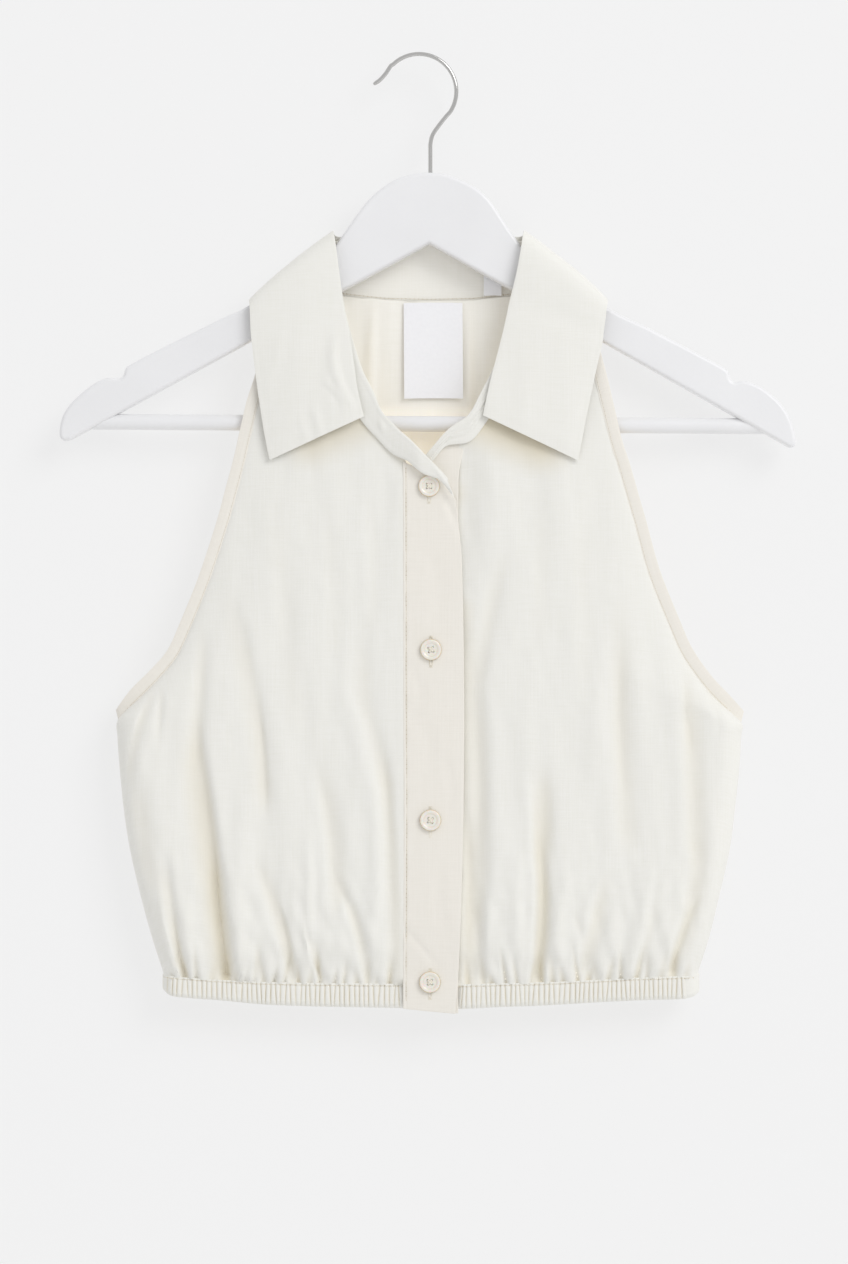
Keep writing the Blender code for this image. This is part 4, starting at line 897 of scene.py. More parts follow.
# Columns as for the fronts' folds
FOLDS_BACK = (
    (-140, -395, -134, -470, -128, -553, 4.6, 8.0, 3.6),
    (-154, -400, -158, -440, -156, -500, 2.0, 6.0, 6.0),
    (-112, -480, -110, -520, -112, -553, 2.6, 3.0, 4.4),
    (-100, -330, -96, -440, -92, -553, 3.0, 5.0, 8.0),
    (-80, -500, -78, -525, -80, -553, 2.0, 3.4, 2.4),
    (-60, -436, -66, -500, -62, -553, 4.4, 3.2, 7.0),
    (-48, -440, -50, -490, -46, -540, -1.8, 5.0, 5.0),
    (-24, -300, -30, -420, -26, -553, 2.6, 8.0, 5.0),
    (-6, -500, -8, -525, -4, -553, 2.2, 2.6, 3.6),
    (6, -196, 6, -250, 7, -330, 0.9, 4.0, 4.0),
    (12, -452, 8, -510, 12, -553, 4.2, 7.0, 3.0),
    (28, -480, 30, -520, 28, -553, -1.6, 4.0, 5.0),
    (46, -350, 52, -450, 48, -553, 3.4, 5.0, 8.0),
    (66, -496, 68, -530, 66, -553, 2.4, 3.0, 3.0),
    (86, -450, 82, -510, 86, -553, 4.6, 4.0, 7.0),
    (100, -480, 102, -520, 100, -553, -1.8, 5.0, 4.0),
    (118, -330, 122, -440, 120, -553, 2.8, 8.0, 5.0),
    (138, -500, 136, -525, 138, -553, 2.0, 2.6, 3.2),
    (154, -420, 152, -490, 146, -553, 4.2, 8.0, 4.0),
    (170, -392, 172, -430, 170, -480, 1.8, 5.0, 4.0),
    (-27, -144, -29, -180, -28, -240, 2.0, 4.0, 3.0),
    (-46, -150, -44, -190, -46, -250, 1.2, 4.0, 5.0),
    (31, -144, 30, -180, 32, -250, 1.8, 3.0, 4.0),
    (58, -160, 62, -200, 66, -250, 0.8, 4.0, 5.0),
)
BACK_COLUMNS = 196


def back_panel():
    """Grid of the back's outer face, rows down both armholes, and the painted shade of its folds."""
    places, shoulder = row_places()
    x_right, z_right = outer_edge(-1, places)
    x_left, z_left = outer_edge(1, places)
    width = (x_left - x_right)[:, None]
    ends = np.array(EDGE_STEPS) / width
    middle = ends[:, -1:] + (1 - 2 * ends[:, -1:]) * np.arange(BACK_COLUMNS) / BACK_COLUMNS
    shares = np.hstack((ends[:, :-1], middle, 1 - ends[:, ::-1]))
    x = x_right[:, None] + shares * width
    z = z_right[:, None] + shares * (z_left - z_right)[:, None]
    tops = np.array(BACK_TOP)
    top_x = x_right[0] + shares * (x_left[0] - x_right[0])
    top_z = np.interp(top_x, tops[:, 0], tops[:, 2])
    top_y = np.interp(top_x, tops[:, 0], tops[:, 1])
    straight_z = z_right[0] + shares * (z_left[0] - z_right[0])
    z += (1 - soft_step((shoulder - SHOULDER_STEPS[-1]) / 90))[:, None] * (top_z - straight_z)
    z += hem_shift(z_right)[:, None] * (between(HEM, x, 1) - HEM_LAP - z_right[-1])
    on_right = shares < 0.5
    x_edge = np.where(on_right, x_right[:, None], x_left[:, None])
    z_edge = np.where(on_right, z_right[:, None], z_left[:, None])

    def depth_of(x, z):
        depth = between(DEPTHS, z, 2) - fold_depth(FOLDS_BACK, x, z) + drape(x, z, 23, 0.8)
        return depth + crumple(x, z, 67)

    edges = [armhole_depth(part, places, shoulder)[:, None] for part in (z_right, z_left)]
    edge = np.where(on_right, edges[0], edges[1])
    depth = panel_depth(depth_of, x, z, x_edge, z_edge, edge, SHOULDER_ROUND)
    near_top = (shoulder < SHOULDER_ROUND)[:, None]
    shape = rounded(shoulder, SHOULDER_ROUND, 4)[:, None]
    depth = np.where(near_top, top_y + (depth - top_y) * shape, depth)
    gathers = hem_gathers(x, z, -150.0, 165.0, 29)
    depth = np.maximum(0.02, seat_on_hem(depth, x, z) - gathers)
    painted_shade = fold_shade_share(fold_depth(FOLDS_BACK, x, z), gathers)
    return np.stack((x, depth, z), axis=-1)[:, ::-1], painted_shade[:, ::-1]


grid, painted_shade = back_panel()
z = grid[..., 2]
# A painted glow on the back's inner side stands in for light through the cloth, strongest just below the
# hanger's bar
through = 0.8 + 1.2 * soft_step((-206 - z) / 8) * (1 - soft_step((-250 - z) / 30))
back = cloth_shell("back_cloth", grid, CLOTH_WALL, ("top", "left", "right"), painted_shade, glow=through)
dress(back, "back", cotton)

# Plackets: bands of the cotton folded over a fusible stiffener, about 1.2 mm thick and pressed flat.
# The buttonhole band is sewn to the right front, and the button band lies behind it.
PLACKET_WALL = 1.2
# Columns: z, x_left, x_right
PLACKET_EDGES = (
    (-240.0, -9.6, 21.0),
    (-265.4, -9.5, 22.0),
    (-301.0, -9.4, 25.4),
    (-384.4, -9.3, 26.8),
    (-444.0, -9.0, 26.5),
    (-503.5, -9.2, 25.2),
    (-539.3, -9.4, 23.8),
    (-571.0, -9.4, 21.6),
)
# Columns: share of the width, z. A band's ends are cut to these lines.
PLACKET_TOP = ((0.0, -242.6), (0.2, -245.2), (0.4, -249.6), (0.7, -253.6), (0.85, -257.0), (1.0, -265.8))
PLACKET_BOTTOM = ((0.0, -567.8), (0.5, -569.4), (1.0, -570.8))
UNDER_TOP = ((0.0, -260.0), (0.3, -247.0), (0.5, -237.6), (0.7, -227.4), (1.0, -227.4))
UNDER_EDGES = ((-230.0, -7.0, 28.2), (-242.0, -7.0, 25.0), (-256.0, -7.0, 23.4), (-571.0, -7.0, 23.4))
PLACKET_STITCH = 1.8
PLACKET_WIDTH = 34.0
UNDER_BEHIND = 2.7
# Columns as for the fronts' folds
PLACKET_DENTS = (
    (15, -264, 19, -272, 24, -284, 0.9, 2.6, 3.4),
    (-8, -520, 2, -532, 10, -541, 0.6, 3.0, 3.0),
    (0, -395, 6, -410, 4, -430, 0.5, 6.0, 6.0),
    (14, -480, 12, -500, 15, -520, 0.55, 5.0, 4.0),
    (8, -300, 12, -318, 9, -335, 0.45, 5.0, 5.0),
    (-4, -366, 0, -376, -2, -392, 0.5, 3.0, 4.0),
    (16, -420, 19, -432, 17, -448, 0.45, 4.0, 3.0),
)


def band(edges, top, bottom, behind, dents, seed):
    """Grid of a flat band's outer face between two edges, with shaped ends and a row of stitching."""
    seam = PLACKET_STITCH / PLACKET_WIDTH + np.linspace(-0.03, 0.03, 9)
    shares = np.concatenate(([0, 0.008, 0.02], seam, np.linspace(0.1, 0.96, 32), [0.98, 0.992, 1]))
    z_top = np.interp(shares, *np.array(top).T)
    z_bottom = np.interp(shares, *np.array(bottom).T)
    downs = np.concatenate(([0, 0.001, 0.003], np.linspace(0.006, 0.994, 190), [0.997, 0.999, 1]))
    z = z_top + downs[:, None] * (z_bottom - z_top)
    left, right = between(edges, z, 1), between(edges, z, 2)
    x = left + shares * (right - left)
    from_stitches = x - left - PLACKET_STITCH
    pucker = 0.1 * np.sin(z / 3.1 + 0.8 * np.sin(z / 17)) * bell(from_stitches / 1.6)
    y = placket_face(z) + behind - drape(x, z, seed, 0.2) + fold_depth(dents, x, z) + pucker
    y = y + 0.2 * bell(from_stitches / 0.55)
    return np.stack((x, y, z), axis=-1)


# The bands' colours are the cotton's made a little darker and warmer, a painted shade for bands that are lit
# less than the plain cloth
pressed_cotton_shaded = cloth_finish("cream_cotton_over_stiffener_shaded", "#F2EEE6", "#EEEAE1", "#E2D9C2")
for name, node, edges, top, behind, dents, seed in (
    ("buttonhole_placket", "placket", PLACKET_EDGES, PLACKET_TOP, 0.0, PLACKET_DENTS, 31),
    ("button_placket", "under_placket", UNDER_EDGES, UNDER_TOP, UNDER_BEHIND, (), 37),
):
    grid = band(edges, top, PLACKET_BOTTOM, behind, dents, seed)
    placket = cloth_shell(name, grid, PLACKET_WALL)
    dress(placket, node, pressed_cotton_shaded)

# Hem channel: the cotton folded over a 12 mm elastic and stitched along its top. The elastic is
# shorter than the cloth, so the channel stands in narrow upright ribs, about 2.8 mm apart.
HEM_WALL = 0.9
RIB_HEIGHT = 1.0
RIB_PITCH = 2.85
COLUMNS_PER_RIB = 8
HEM_ROWS = (0.0, 0.04, 0.1, 0.18, 0.28, 0.4, 0.52, 0.64, 0.75, 0.84, 0.91, 0.96, 0.985, 1.0)


def hem_channel(x_from, x_to, face, seed, plain_left):
    """Grid of the channel's outer face, ribbed except for a plain run at its left end."""
    chance = np.random.default_rng(seed)
    ends = [x_from]
    stop = x_to - plain_left
    while ends[-1] + 1.6 * RIB_PITCH < stop:
        ends.append(ends[-1] + RIB_PITCH * chance.uniform(0.86, 1.16))
    ends.append(stop)
    if plain_left:
        ends.append(x_to)
    ends = np.array(ends)
    ribbed = chance.uniform(0.72, 1.15, len(ends) - 1)
    if plain_left:
        ribbed[-1] = 0
    lean = chance.normal(0, 0.3, len(ends))
    if x_from == HEM[0][0]:
        lean[0] = 0
    lean[-1] = 0
    place = np.arange(len(ribbed) * COLUMNS_PER_RIB + 1) / COLUMNS_PER_RIB
    rib = np.minimum(place.astype(int), len(ribbed) - 1)
    u = place - rib
    x_mid = ends[rib] + u * (ends[rib + 1] - ends[rib])
    slant = lean[rib] + u * (lean[rib + 1] - lean[rib])
    down = np.array(HEM_ROWS)[:, None]
    x = x_mid + slant * (down - 0.5) * 2 * np.minimum(1, np.minimum(x_mid - x_from, x_to - x_mid) / 3)
    z_top, z_bottom = between(HEM, x, 1), between(HEM, x, 2)
    crest = RIB_HEIGHT * ribbed[rib] * (1 - np.abs(2 * u - 1) ** 3.4)
    side = np.minimum(x - HEM[0][0], HEM[-1][0] - x)
    swell = np.sin(math.pi * down) ** 0.6
    crest = crest * (0.45 + 0.55 * swell) * soft_step((side - 1) / 5)
    z = z_top + down * (z_bottom - z_top) - 0.35 * (crest / RIB_HEIGHT - 0.5) * soft_step((down - 0.6) / 0.4)
    # The channel's lower edge rolls in
    under = 1.3 * soft_step((down - 0.84) / 0.16)
    depth = np.maximum(0.02, (HEM_DEPTH + 0.35 * swell - under) * rounded(np.maximum(side, 0), 9.0, 2))
    depth = depth + crest
    # The left front's channel sinks behind the lower end of the bands
    sink = 1.6 * soft_step((26.0 - x) / 3) * soft_step((x + 2) / 3) if face < 0 else 0.0
    grid = np.stack((x, face * (depth - sink), z), axis=-1)
    # Painted shade in the valleys between ribs, deepest where the ribs stand highest
    rib_shade = np.clip(np.abs(2 * u - 1) ** 4 * np.minimum(ribbed[rib], 1) * swell * 0.8, 0, 1)
    return (grid, rib_shade) if face < 0 else (grid[:, ::-1], rib_shade[:, ::-1])


hem_grids = {}
for name, x_from, x_to, face, seed, plain_left in (
    ("hem_channel_front_right", HEM[0][0], -7.0, -1, 41, 0.0),
    ("hem_channel_front_left", 20.0, HEM[-1][0], -1, 43, 9.0),
    ("hem_channel_back", HEM[0][0], HEM[-1][0], 1, 47, 0.0),
):
    grid, rib_shade = hem_channel(x_from, x_to, face, seed, plain_left)
    hem_grids[name] = grid
    hem = cloth_shell(name + "_ribbed", grid, HEM_WALL, ("left", "right"), rib_shade)
    dress(hem, name, cotton)

# Armhole bindings: a strip of the cotton folded over the raw edge, 7 mm wide when sewn, and
# stitched close to its inner edge. It runs down the front, under the arm and up the back.
BINDING_WALL = 1.5
BINDING_WIDTH = 7.2
BINDING_ACROSS = np.array((0.0, 0.06, 0.16, 0.3, 0.5, 0.7, 0.86, 0.95, 1.0))


def binding_ring(side):
    """Outer face of the binding as a ring of sections from the stitching to the armhole's edge."""
    table = ARMHOLE_RIGHT if side < 0 else ARMHOLE_LEFT
    end = len(table) - 1.0
    places, distance = row_places()
    keep = places <= end
    places, distance = np.append(places[keep], end), distance[keep]
    rows = along(table, places)
    distance = np.append(distance, distance[-1] + np.hypot(*(rows[-1, :2] - rows[-2, :2])))
    to_end = distance[-1] - distance
    depth = (between(DEPTHS, rows[:, 1], 3) + 0.5) * rounded(to_end, UNDERARM_ROUND, 2)
    depth = depth * rounded(distance, SHOULDER_ROUND, 4)
    halves = []
    for face in (-1, 1):
        pucker = 0.1 * np.sin(distance / 1.9 + 2.2 * np.sin(distance / 11 + side)) * soft_step(distance / 30)
        section = []
        for share in BINDING_ACROSS:
            x = rows[:, 2] + share * (rows[:, 0] - rows[:, 2])
            z = rows[:, 3] + share * (rows[:, 1] - rows[:, 3])
            puff = 0.35 * math.sin(math.pi * share) ** 0.5 + pucker * (1 - share) ** 2
            puff = puff - 0.22 * bell((share - 0.14) / 0.07)
            y = face * (depth + puff * soft_step(distance / 12) * soft_step(to_end / 20))
            section.append(np.stack((x, y, z), axis=-1))
        halves.append(np.stack(section, axis=1))
    return np.concatenate((halves[0], halves[1][-2:0:-1]))


def ring_shell(name, ring, wall, side):
    """A closed tube of cloth round a ring of open sections, one wall thick."""
    ahead, behind = np.roll(ring, -1, axis=0), np.roll(ring, 1, axis=0)
    out = unit(side * np.cross((ahead - behind).mean(axis=1), ring[:, -1] - ring[:, 0]))
    section = np.concatenate((ring, ring[:, ::-1] - wall * out[:, None]), axis=1)
    a = np.arange(section[..., 0].size).reshape(section.shape[:2])
    b = np.roll(a, -1, axis=0)
    faces = np.stack((a, b, np.roll(b, -1, axis=1), np.roll(a, -1, axis=1)), axis=-1).reshape(-1, 4)
    widths = np.concatenate((BINDING_ACROSS, BINDING_ACROSS[::-1])) * BINDING_WIDTH
    flat = np.stack(np.broadcast_arrays(widths[None], lengths_along(ring[:, 0])[:, None]), axis=-1)
    return cloth_piece(name, section.reshape(-1, 3), faces, flat.reshape(-1, 2))


binding_rings = {}
for side, name in ((-1, "armhole_binding_right"), (1, "armhole_binding_left")):
    ring = binding_ring(side)
    binding_rings[side] = ring
    binding = ring_shell(name + "_cloth", ring, BINDING_WALL, side)
    dress(binding, name, pressed_cotton_shaded)

# Collar stand: two plies of the cotton round a stiffener, sewn to the neck edge. It stands up round
# the back of the neck, and its front ends fall open, the right one turned over the placket's top.
STAND_WALL = 1.1
# x of the line that the left and right sides mirror in
MIDDLE = 6.3
# Share of the stand's length at which its right front end has a short crease across it
SLIT_PLACE = 0.155
# Columns: x_seam, y_seam, z_seam, x_top, y_top, z_top
STAND_RIGHT_FRONT = (
    (20.5, -16.6, -262.0, 16.5, -17.4, -253.0),
    (13.1, -17.2, -253.2, 8.9, -17.8, -245.1),
    (2.4, -17.0, -248.7, 0.6, -17.6, -235.6),
    (-6.5, -15.0, -241.2, -5.0, -16.4, -229.6),
    (-15.5, -12.6, -236.8, -13.0, -15.2, -222.5),
    (-25.0, -11.8, -227.2, -22.0, -14.0, -212.5),
    (-33.8, -11.4, -217.2, -27.0, -13.0, -201.0),
    (-48.2, -11.0, -196.2, -34.0, -12.0, -187.0),
    (-59.2, -10.7, -176.0, -40.0, -11.2, -168.0),
    (-66.4, -10.4, -156.4, -45.5, -10.6, -146.0),
    (-70.0, -10.0, -142.0, -48.6, -10.2, -127.0),
    (-71.4, -7.6, -129.6, -50.2, -7.8, -112.6),
    (-71.7, 0.0, -126.6, -50.6, 0.0, -109.4),
    (-70.3, 7.0, -127.6, -50.0, 7.2, -110.4),
    (-65.7, 9.6, -133.6, -47.5, 9.8, -110.0),
    (-45.0, 10.4, -142.2, -36.0, 10.2, -108.6),
    (-19.9, 10.6, -145.0, -16.0, 10.3, -107.6),
)
STAND_LEFT_FRONT = (
    (59.2, -11.0, -196.6, 43.8, -12.0, -188.0),
    (42.5, -11.4, -214.2, 36.6, -13.0, -202.0),
    (30.6, -11.6, -229.2, 29.6, -13.2, -214.5),
    (16.0, -11.4, -232.4, 17.9, -12.8, -223.4),
    (6.6, -11.2, -242.2, 4.0, -11.8, -239.2),
)
# So many last rows of the right side are mirrored on the left
STAND_SHARED = 9
RIM_SHARES = (0.0, 0.012, 0.035)


def collar_grid(table, rows_between, shares, extra, lift):
    """Grid of a collar piece's outer face, across each station from its first edge to its second.

    The first edge is let out by the extra, and the middle is arched by the lift.
    """
    rows = smooth_line(table, rows_between)
    first, second = rows[:, :3], rows[:, 3:]
    first = first - extra * unit(second - first)
    out = lift * unit(np.cross(second - first, np.gradient(first + second, axis=0)))
    t = np.array(shares)[None, :, None]
    return first[:, None] + t * (second - first)[:, None] + out[:, None] * 4 * t * (1 - t)


def edged(count):
    """Shares across a piece, closer together at its rims."""
    inner = np.linspace(RIM_SHARES[-1], 1 - RIM_SHARES[-1], count)
    return np.concatenate((RIM_SHARES[:-1], inner, 1 - np.array(RIM_SHARES[-2::-1])))


shared = STAND_RIGHT_FRONT[-STAND_SHARED:]
mirrored = tuple((2 * MIDDLE - a, b, c, 2 * MIDDLE - d, e, f) for a, b, c, d, e, f in reversed(shared))
stand_table = (
    STAND_RIGHT_FRONT + ((MIDDLE, 10.6, -145.6, MIDDLE, 10.3, -107.2),) + mirrored + STAND_LEFT_FRONT
)
stand_grid = collar_grid(stand_table, 14, edged(16), extra=1.0, lift=0.6)
stand_normals = grid_normals(stand_grid)
place = np.linspace(0, 1, len(stand_grid))[:, None]
share = edged(16)[None, :]
ripple = 0.22 * np.sin(70 * place + 5 * np.sin(17 * place) + 1.4 * share) * np.sin(math.pi * share)
seam_dents = 0.22 * bell((share - 0.9) / 0.05) + 0.2 * bell((share - 0.14) / 0.05)
# The plies' edges show as two slanting steps at the left end
left_end = soft_step((place - 0.78) / 0.08)
layers = 0.8 * bell((share - 0.42 - 0.5 * (place - 0.9)) / 0.05) * left_end
layers = layers + 0.6 * bell((share - 0.66 + 0.4 * (place - 0.9)) / 0.04) * left_end
slit = 0.7 * bell((share - 0.55) / 0.14) * bell((place - SLIT_PLACE) / 0.006)
stand_grid = stand_grid + stand_normals * (ripple - seam_dents - layers - slit)[..., None]
# A painted glow at the back of the stand, on both its faces, stands in for light that comes through it
stand_glow_mask = soft_step((stand_grid[..., 1] - 6) / 3)
stand = cloth_shell("collar_stand_cloth", stand_grid, STAND_WALL, painted_shade=0 * stand_glow_mask)
stand.data.attributes["inside"].data.foreach_set("value", np.tile(0.6 * stand_glow_mask.ravel(), 2))
dress(stand, "collar_stand", cotton)

# Collar fall: the leaf of the collar, two plies turned out at the edges, pressed flat and left
# without topstitching. It rolls over the stand and lies on the fronts in two long points.
FALL_WALL = 1.0
# Columns: x_roll, y_roll, z_roll, x_out, y_out, z_out
FALL = (
    (-32.7, -15.8, -216.0, -88.5, -12.6, -241.8),
    (-34.8, -15.6, -207.0, -90.3, -12.6, -234.0),
    (-36.9, -15.2, -197.0, -93.2, -12.5, -218.0),
    (-38.6, -14.6, -184.0, -96.5, -12.4, -195.0),
    (-41.1, -13.8, -167.0, -98.6, -12.3, -178.0),
    (-44.1, -12.4, -152.0, -99.9, -12.1, -166.0),
    (-47.0, -12.4, -133.0, -100.3, -12.2, -157.0),
    (-49.0, -11.6, -117.0, -100.5, -11.4, -150.8),
    (-50.2, -8.6, -108.2, -100.6, -8.4, -147.6),
    (-50.6, 0.0, -105.0, -100.7, 0.0, -146.2),
    (-50.2, 8.6, -106.6, -100.4, 8.6, -148.4),
    (-48.0, 11.8, -107.2, -98.0, 11.8, -153.0),
    (-43.0, 12.6, -106.8, -84.0, 13.2, -157.0),
    (-30.0, 12.8, -106.0, -55.0, 13.8, -159.5),
    (-12.0, 12.8, -105.5, -22.0, 14.0, -160.5),
    (6.3, 12.8, -105.2, 6.3, 14.2, -160.8),
    (24.6, 12.8, -105.5, 34.6, 14.0, -160.5),
    (42.6, 12.8, -106.0, 67.6, 13.8, -159.5),
    (55.0, 12.6, -106.8, 96.0, 13.2, -157.0),
    (60.0, 11.8, -107.2, 109.6, 11.8, -153.0),
    (62.0, 8.6, -106.6, 111.8, 8.6, -148.4),
    (62.2, 0.0, -105.0, 112.2, 0.0, -146.2),
    (61.6, -8.6, -108.2, 112.0, -8.4, -147.6),
    (60.4, -11.6, -117.0, 111.6, -11.4, -150.8),
    (57.8, -12.4, -131.4, 110.8, -12.2, -158.0),
    (54.0, -12.4, -147.0, 109.8, -12.1, -165.0),
    (51.2, -13.8, -160.0, 108.8, -12.3, -173.0),
    (47.0, -14.6, -177.0, 106.0, -12.4, -185.0),
    (43.3, -15.2, -191.0, 102.8, -12.5, -200.0),
    (40.5, -15.6, -203.0, 99.2, -12.6, -217.0),
    (38.0, -15.8, -215.4, 94.4, -12.6, -242.0),
)
# Columns as for the fronts' folds
FALL_DENTS = (
    (-49, -168, -49, -190, -40, -209, 2.3, 3.6, 2.0),
    (-54, -196, -47, -204, -44, -214, 1.2, 2.6, 1.8),
    (-56, -176, -54, -196, -50, -214, 0.5, 4.0, 4.0),
    (-72, -150, -74, -190, -78, -230, 0.5, 8.0, 8.0),
    (-62, -212, -60, -220, -58, -230, 0.9, 2.4, 2.4),
    (-70, -218, -68, -226, -67, -236, 0.6, 2.2, 2.2),
    (-80, -160, -84, -176, -90, -200, 0.5, 5.0, 4.0),
    (84, -160, 88, -195, 88, -232, 0.5, 8.0, 8.0),
    (66, -175, 64, -198, 60, -218, 0.5, 6.0, 6.0),
)

fall_grid = collar_grid(FALL, 10, edged(34), extra=0.0, lift=-1.4)[:, ::-1]
fall_normals = grid_normals(fall_grid)
on_front = soft_step((-fall_grid[..., 1] - 4) / 4)
dent = fold_depth(FALL_DENTS, fall_grid[..., 0], fall_grid[..., 2]) * on_front
waves = drape(fall_grid[..., 0], fall_grid[..., 2], 53, 0.22)
across, down = arc_lengths(fall_grid, 1), arc_lengths(fall_grid, 0)
from_edge = np.minimum.reduce((across, down, down[-1:] - down))
turned = 0.16 * soft_step((from_edge - 4.2) / 1.6) - 0.12 * bell((from_edge - 1.6) / 0.9)
fall_grid = fall_grid + fall_normals * (waves - dent - turned)[..., None]
fall = cloth_shell("collar_fall_cloth", fall_grid, FALL_WALL)
dress(fall, "collar_fall", cotton)

# Sewing thread: spun polyester in the cloth's cream, in lockstitches 2 mm long. Each stitch is a
# small grain that lies in the dent it pulls. It closes the armholes, placket, neck and hem.
STITCH = 2.0
STITCH_GAP = 0.55
THREAD_WIDTH = 0.46
THREAD_HEIGHT = 0.26
DIMPLE = 0.42


def at_lengths(places, path, values):
    """The values, one for each point of the path, at places given as lengths along it."""
    values = np.broadcast_to(values, path.shape)
    length = lengths_along(path)
    return np.stack([np.interp(places, length, values[:, k]) for k in range(3)], axis=-1)


def strand_faces(count):
    """Faces of short closed strands, each of four rings of four points."""
    one = []
    for ring in (0, 4, 8):
        for k in range(4):
            n = (k + 1) % 4
            one.append((ring + k, ring + n, ring + 4 + n, ring + 4 + k))
    one += [(3, 2, 1, 0), (12, 13, 14, 15)]
    return (np.array(one)[None] + 16 * np.arange(count)[:, None, None]).reshape(-1, 4)


def stitches(path, out):
    """Points and faces of the stitches along a path, raised along out."""
    count = max(1, int((lengths_along(path)[-1] - STITCH) / (STITCH + STITCH_GAP)))
    starts = np.arange(count) * (STITCH + STITCH_GAP) + STITCH_GAP / 2
    way = at_lengths(starts + STITCH, path, path) - at_lengths(starts, path, path)
    rings = []
    for share, size in ((0.0, 0.25), (0.22, 1.0), (0.78, 1.0), (1.0, 0.25)):
        centre = at_lengths(starts + share * STITCH, path, path)
        up = unit(at_lengths(starts + share * STITCH, path, out))
        aside = unit(np.cross(way, up)) * THREAD_WIDTH / 2 * size
        raised = up * THREAD_HEIGHT * size
        low = -0.3 * up * THREAD_HEIGHT
        rings.append(np.stack((centre + aside, centre + raised, centre - aside, centre + low), axis=1))
    return np.concatenate(rings, axis=1).reshape(-1, 3), strand_faces(count)


def dimples(path, out):
    """Points and faces of small raised lenses between stitches, where the needle went in, which carry a
    painted shade.
    """
    places = np.arange(0, lengths_along(path)[-1], STITCH + STITCH_GAP)
    centre, up = at_lengths(places, path, path), unit(at_lengths(places, path, out))
    way = unit(at_lengths(places + 0.2, path, path) - at_lengths(places - 0.2, path, path))
    aside = np.cross(way, up)
    ring = []
    for turn in np.arange(6) * math.pi / 3:
        offset = DIMPLE * (math.cos(turn) * way * 0.8 + math.sin(turn) * aside)
        ring.append(centre + offset - 0.05 * up)
    points = np.stack((*ring, centre + 0.16 * up, centre - 0.2 * up), axis=1).reshape(-1, 3)
    one = [(k, (k + 1) % 6, 6) for k in range(6)] + [((k + 1) % 6, k, 7) for k in range(6)]
    faces = (np.array(one)[None] + 8 * np.arange(len(places))[:, None, None]).reshape(-1, 3)
    return points, faces


def sew(seam, runs):
    """A seam's stitches as one piece, and the painted shade of the dimples between them as another."""
    for name, shape, material in (("stitching", stitches, thread), ("dimples", dimples, needle_dimple_shade)):
        points, faces, start = [], [], 0
        for path, out in runs:
            some_points, some_faces = shape(path, out)
            points.append(some_points)
            faces.append(some_faces + start)
            start += len(some_points)
        piece = new_piece(f"{seam}_{name}", np.concatenate(points), np.concatenate(faces))
        turn_outwards(piece)
        dress(piece, (), material)


thread, thread_shader = new_material(
    "spun_polyester_thread", Roughness=0.6, Sheen_Weight=0.2, Sheen_Roughness=0.4
)
where = add_node(thread, "ShaderNodeTexCoord").outputs["Object"]
twist = add_node(thread, "ShaderNodeTexNoise", {"Scale": 2600.0, "Detail": 2.0}, {"Vector": where})
tone = add_node(thread, "ShaderNodeValToRGB", links={"Fac": twist.outputs["Fac"]})
tone.color_ramp.elements[0].color = linear("#E2DAC6")
tone.color_ramp.elements[1].color = linear("#F5F1E6")
bump = add_node(
    thread, "ShaderNodeBump", {"Strength": 0.3, "Distance": 0.0001}, {"Height": twist.outputs["Fac"]}
)
join(thread, tone.outputs["Color"], thread_shader, "Base Color")
join(thread, bump.outputs["Normal"], thread_shader, "Normal")

# The needle's dimples: a painted shade, darker tan, where a stitch pulls the cotton down between two
# threads.
needle_dimple_shade, dimple_shade_shader = new_material("painted_shade_of_needle_dimple", Roughness=0.95)
where = add_node(needle_dimple_shade, "ShaderNodeTexCoord").outputs["Object"]
fuzz = add_node(needle_dimple_shade, "ShaderNodeTexNoise", {"Scale": 900.0, "Detail": 2.0}, {"Vector": where})
tone = add_node(needle_dimple_shade, "ShaderNodeValToRGB", links={"Fac": fuzz.outputs["Fac"]})
tone.color_ramp.elements[0].color = linear("#D6CBB4")
tone.color_ramp.elements[1].color = linear("#E6DFD0")
join(needle_dimple_shade, tone.outputs["Color"], dimple_shade_shader, "Base Color")

z = np.linspace(PLACKET_TOP[0][1] - 4, PLACKET_BOTTOM[0][1] + 3, 120)
x = between(PLACKET_EDGES, z, 1) + PLACKET_STITCH
placket_run = (np.stack((x, placket_face(z) + 0.1, z), axis=-1), (0, -1, 0))
sew("placket", [placket_run])

armhole_runs = []
for side, ring in binding_rings.items():
    line = ring[:, 2]
    half = len(line) // 2
    for face, part in ((-1, line[4 : half - 3]), (1, line[half + 4 : -4])):
        armhole_runs.append((part, (0.0, face, 0.0)))
sew("armhole", armhole_runs)

hem_runs = []
for name, grid in hem_grids.items():
    face = -1 if "front" in name else 1
    line = grid[2].copy()
    crest = np.array([np.abs(line[max(0, k - 6) : k + 7, 1]).max() for k in range(len(line))])
    line[:, 1] = face * (crest - 0.05)
    hem_runs.append((line[3:-3], (0.0, face, 0.0)))
sew("hem", hem_runs)

# The neck's own seam shows inside, and the stand has a row along its top and one along its seam
x = np.linspace(-46, 58, 80)
neck_line = np.interp(x, [row[0] for row in BACK_TOP], [row[2] for row in BACK_TOP]) + 1.4
stand_runs = [(np.stack((x, np.full(80, 9.15), neck_line), axis=-1), (0, -1, 0))]
for column in (-5, 4):
    stand_runs.append((stand_grid[6:80, column], stand_normals[6:80, column]))
sew("collar_stand", stand_runs)

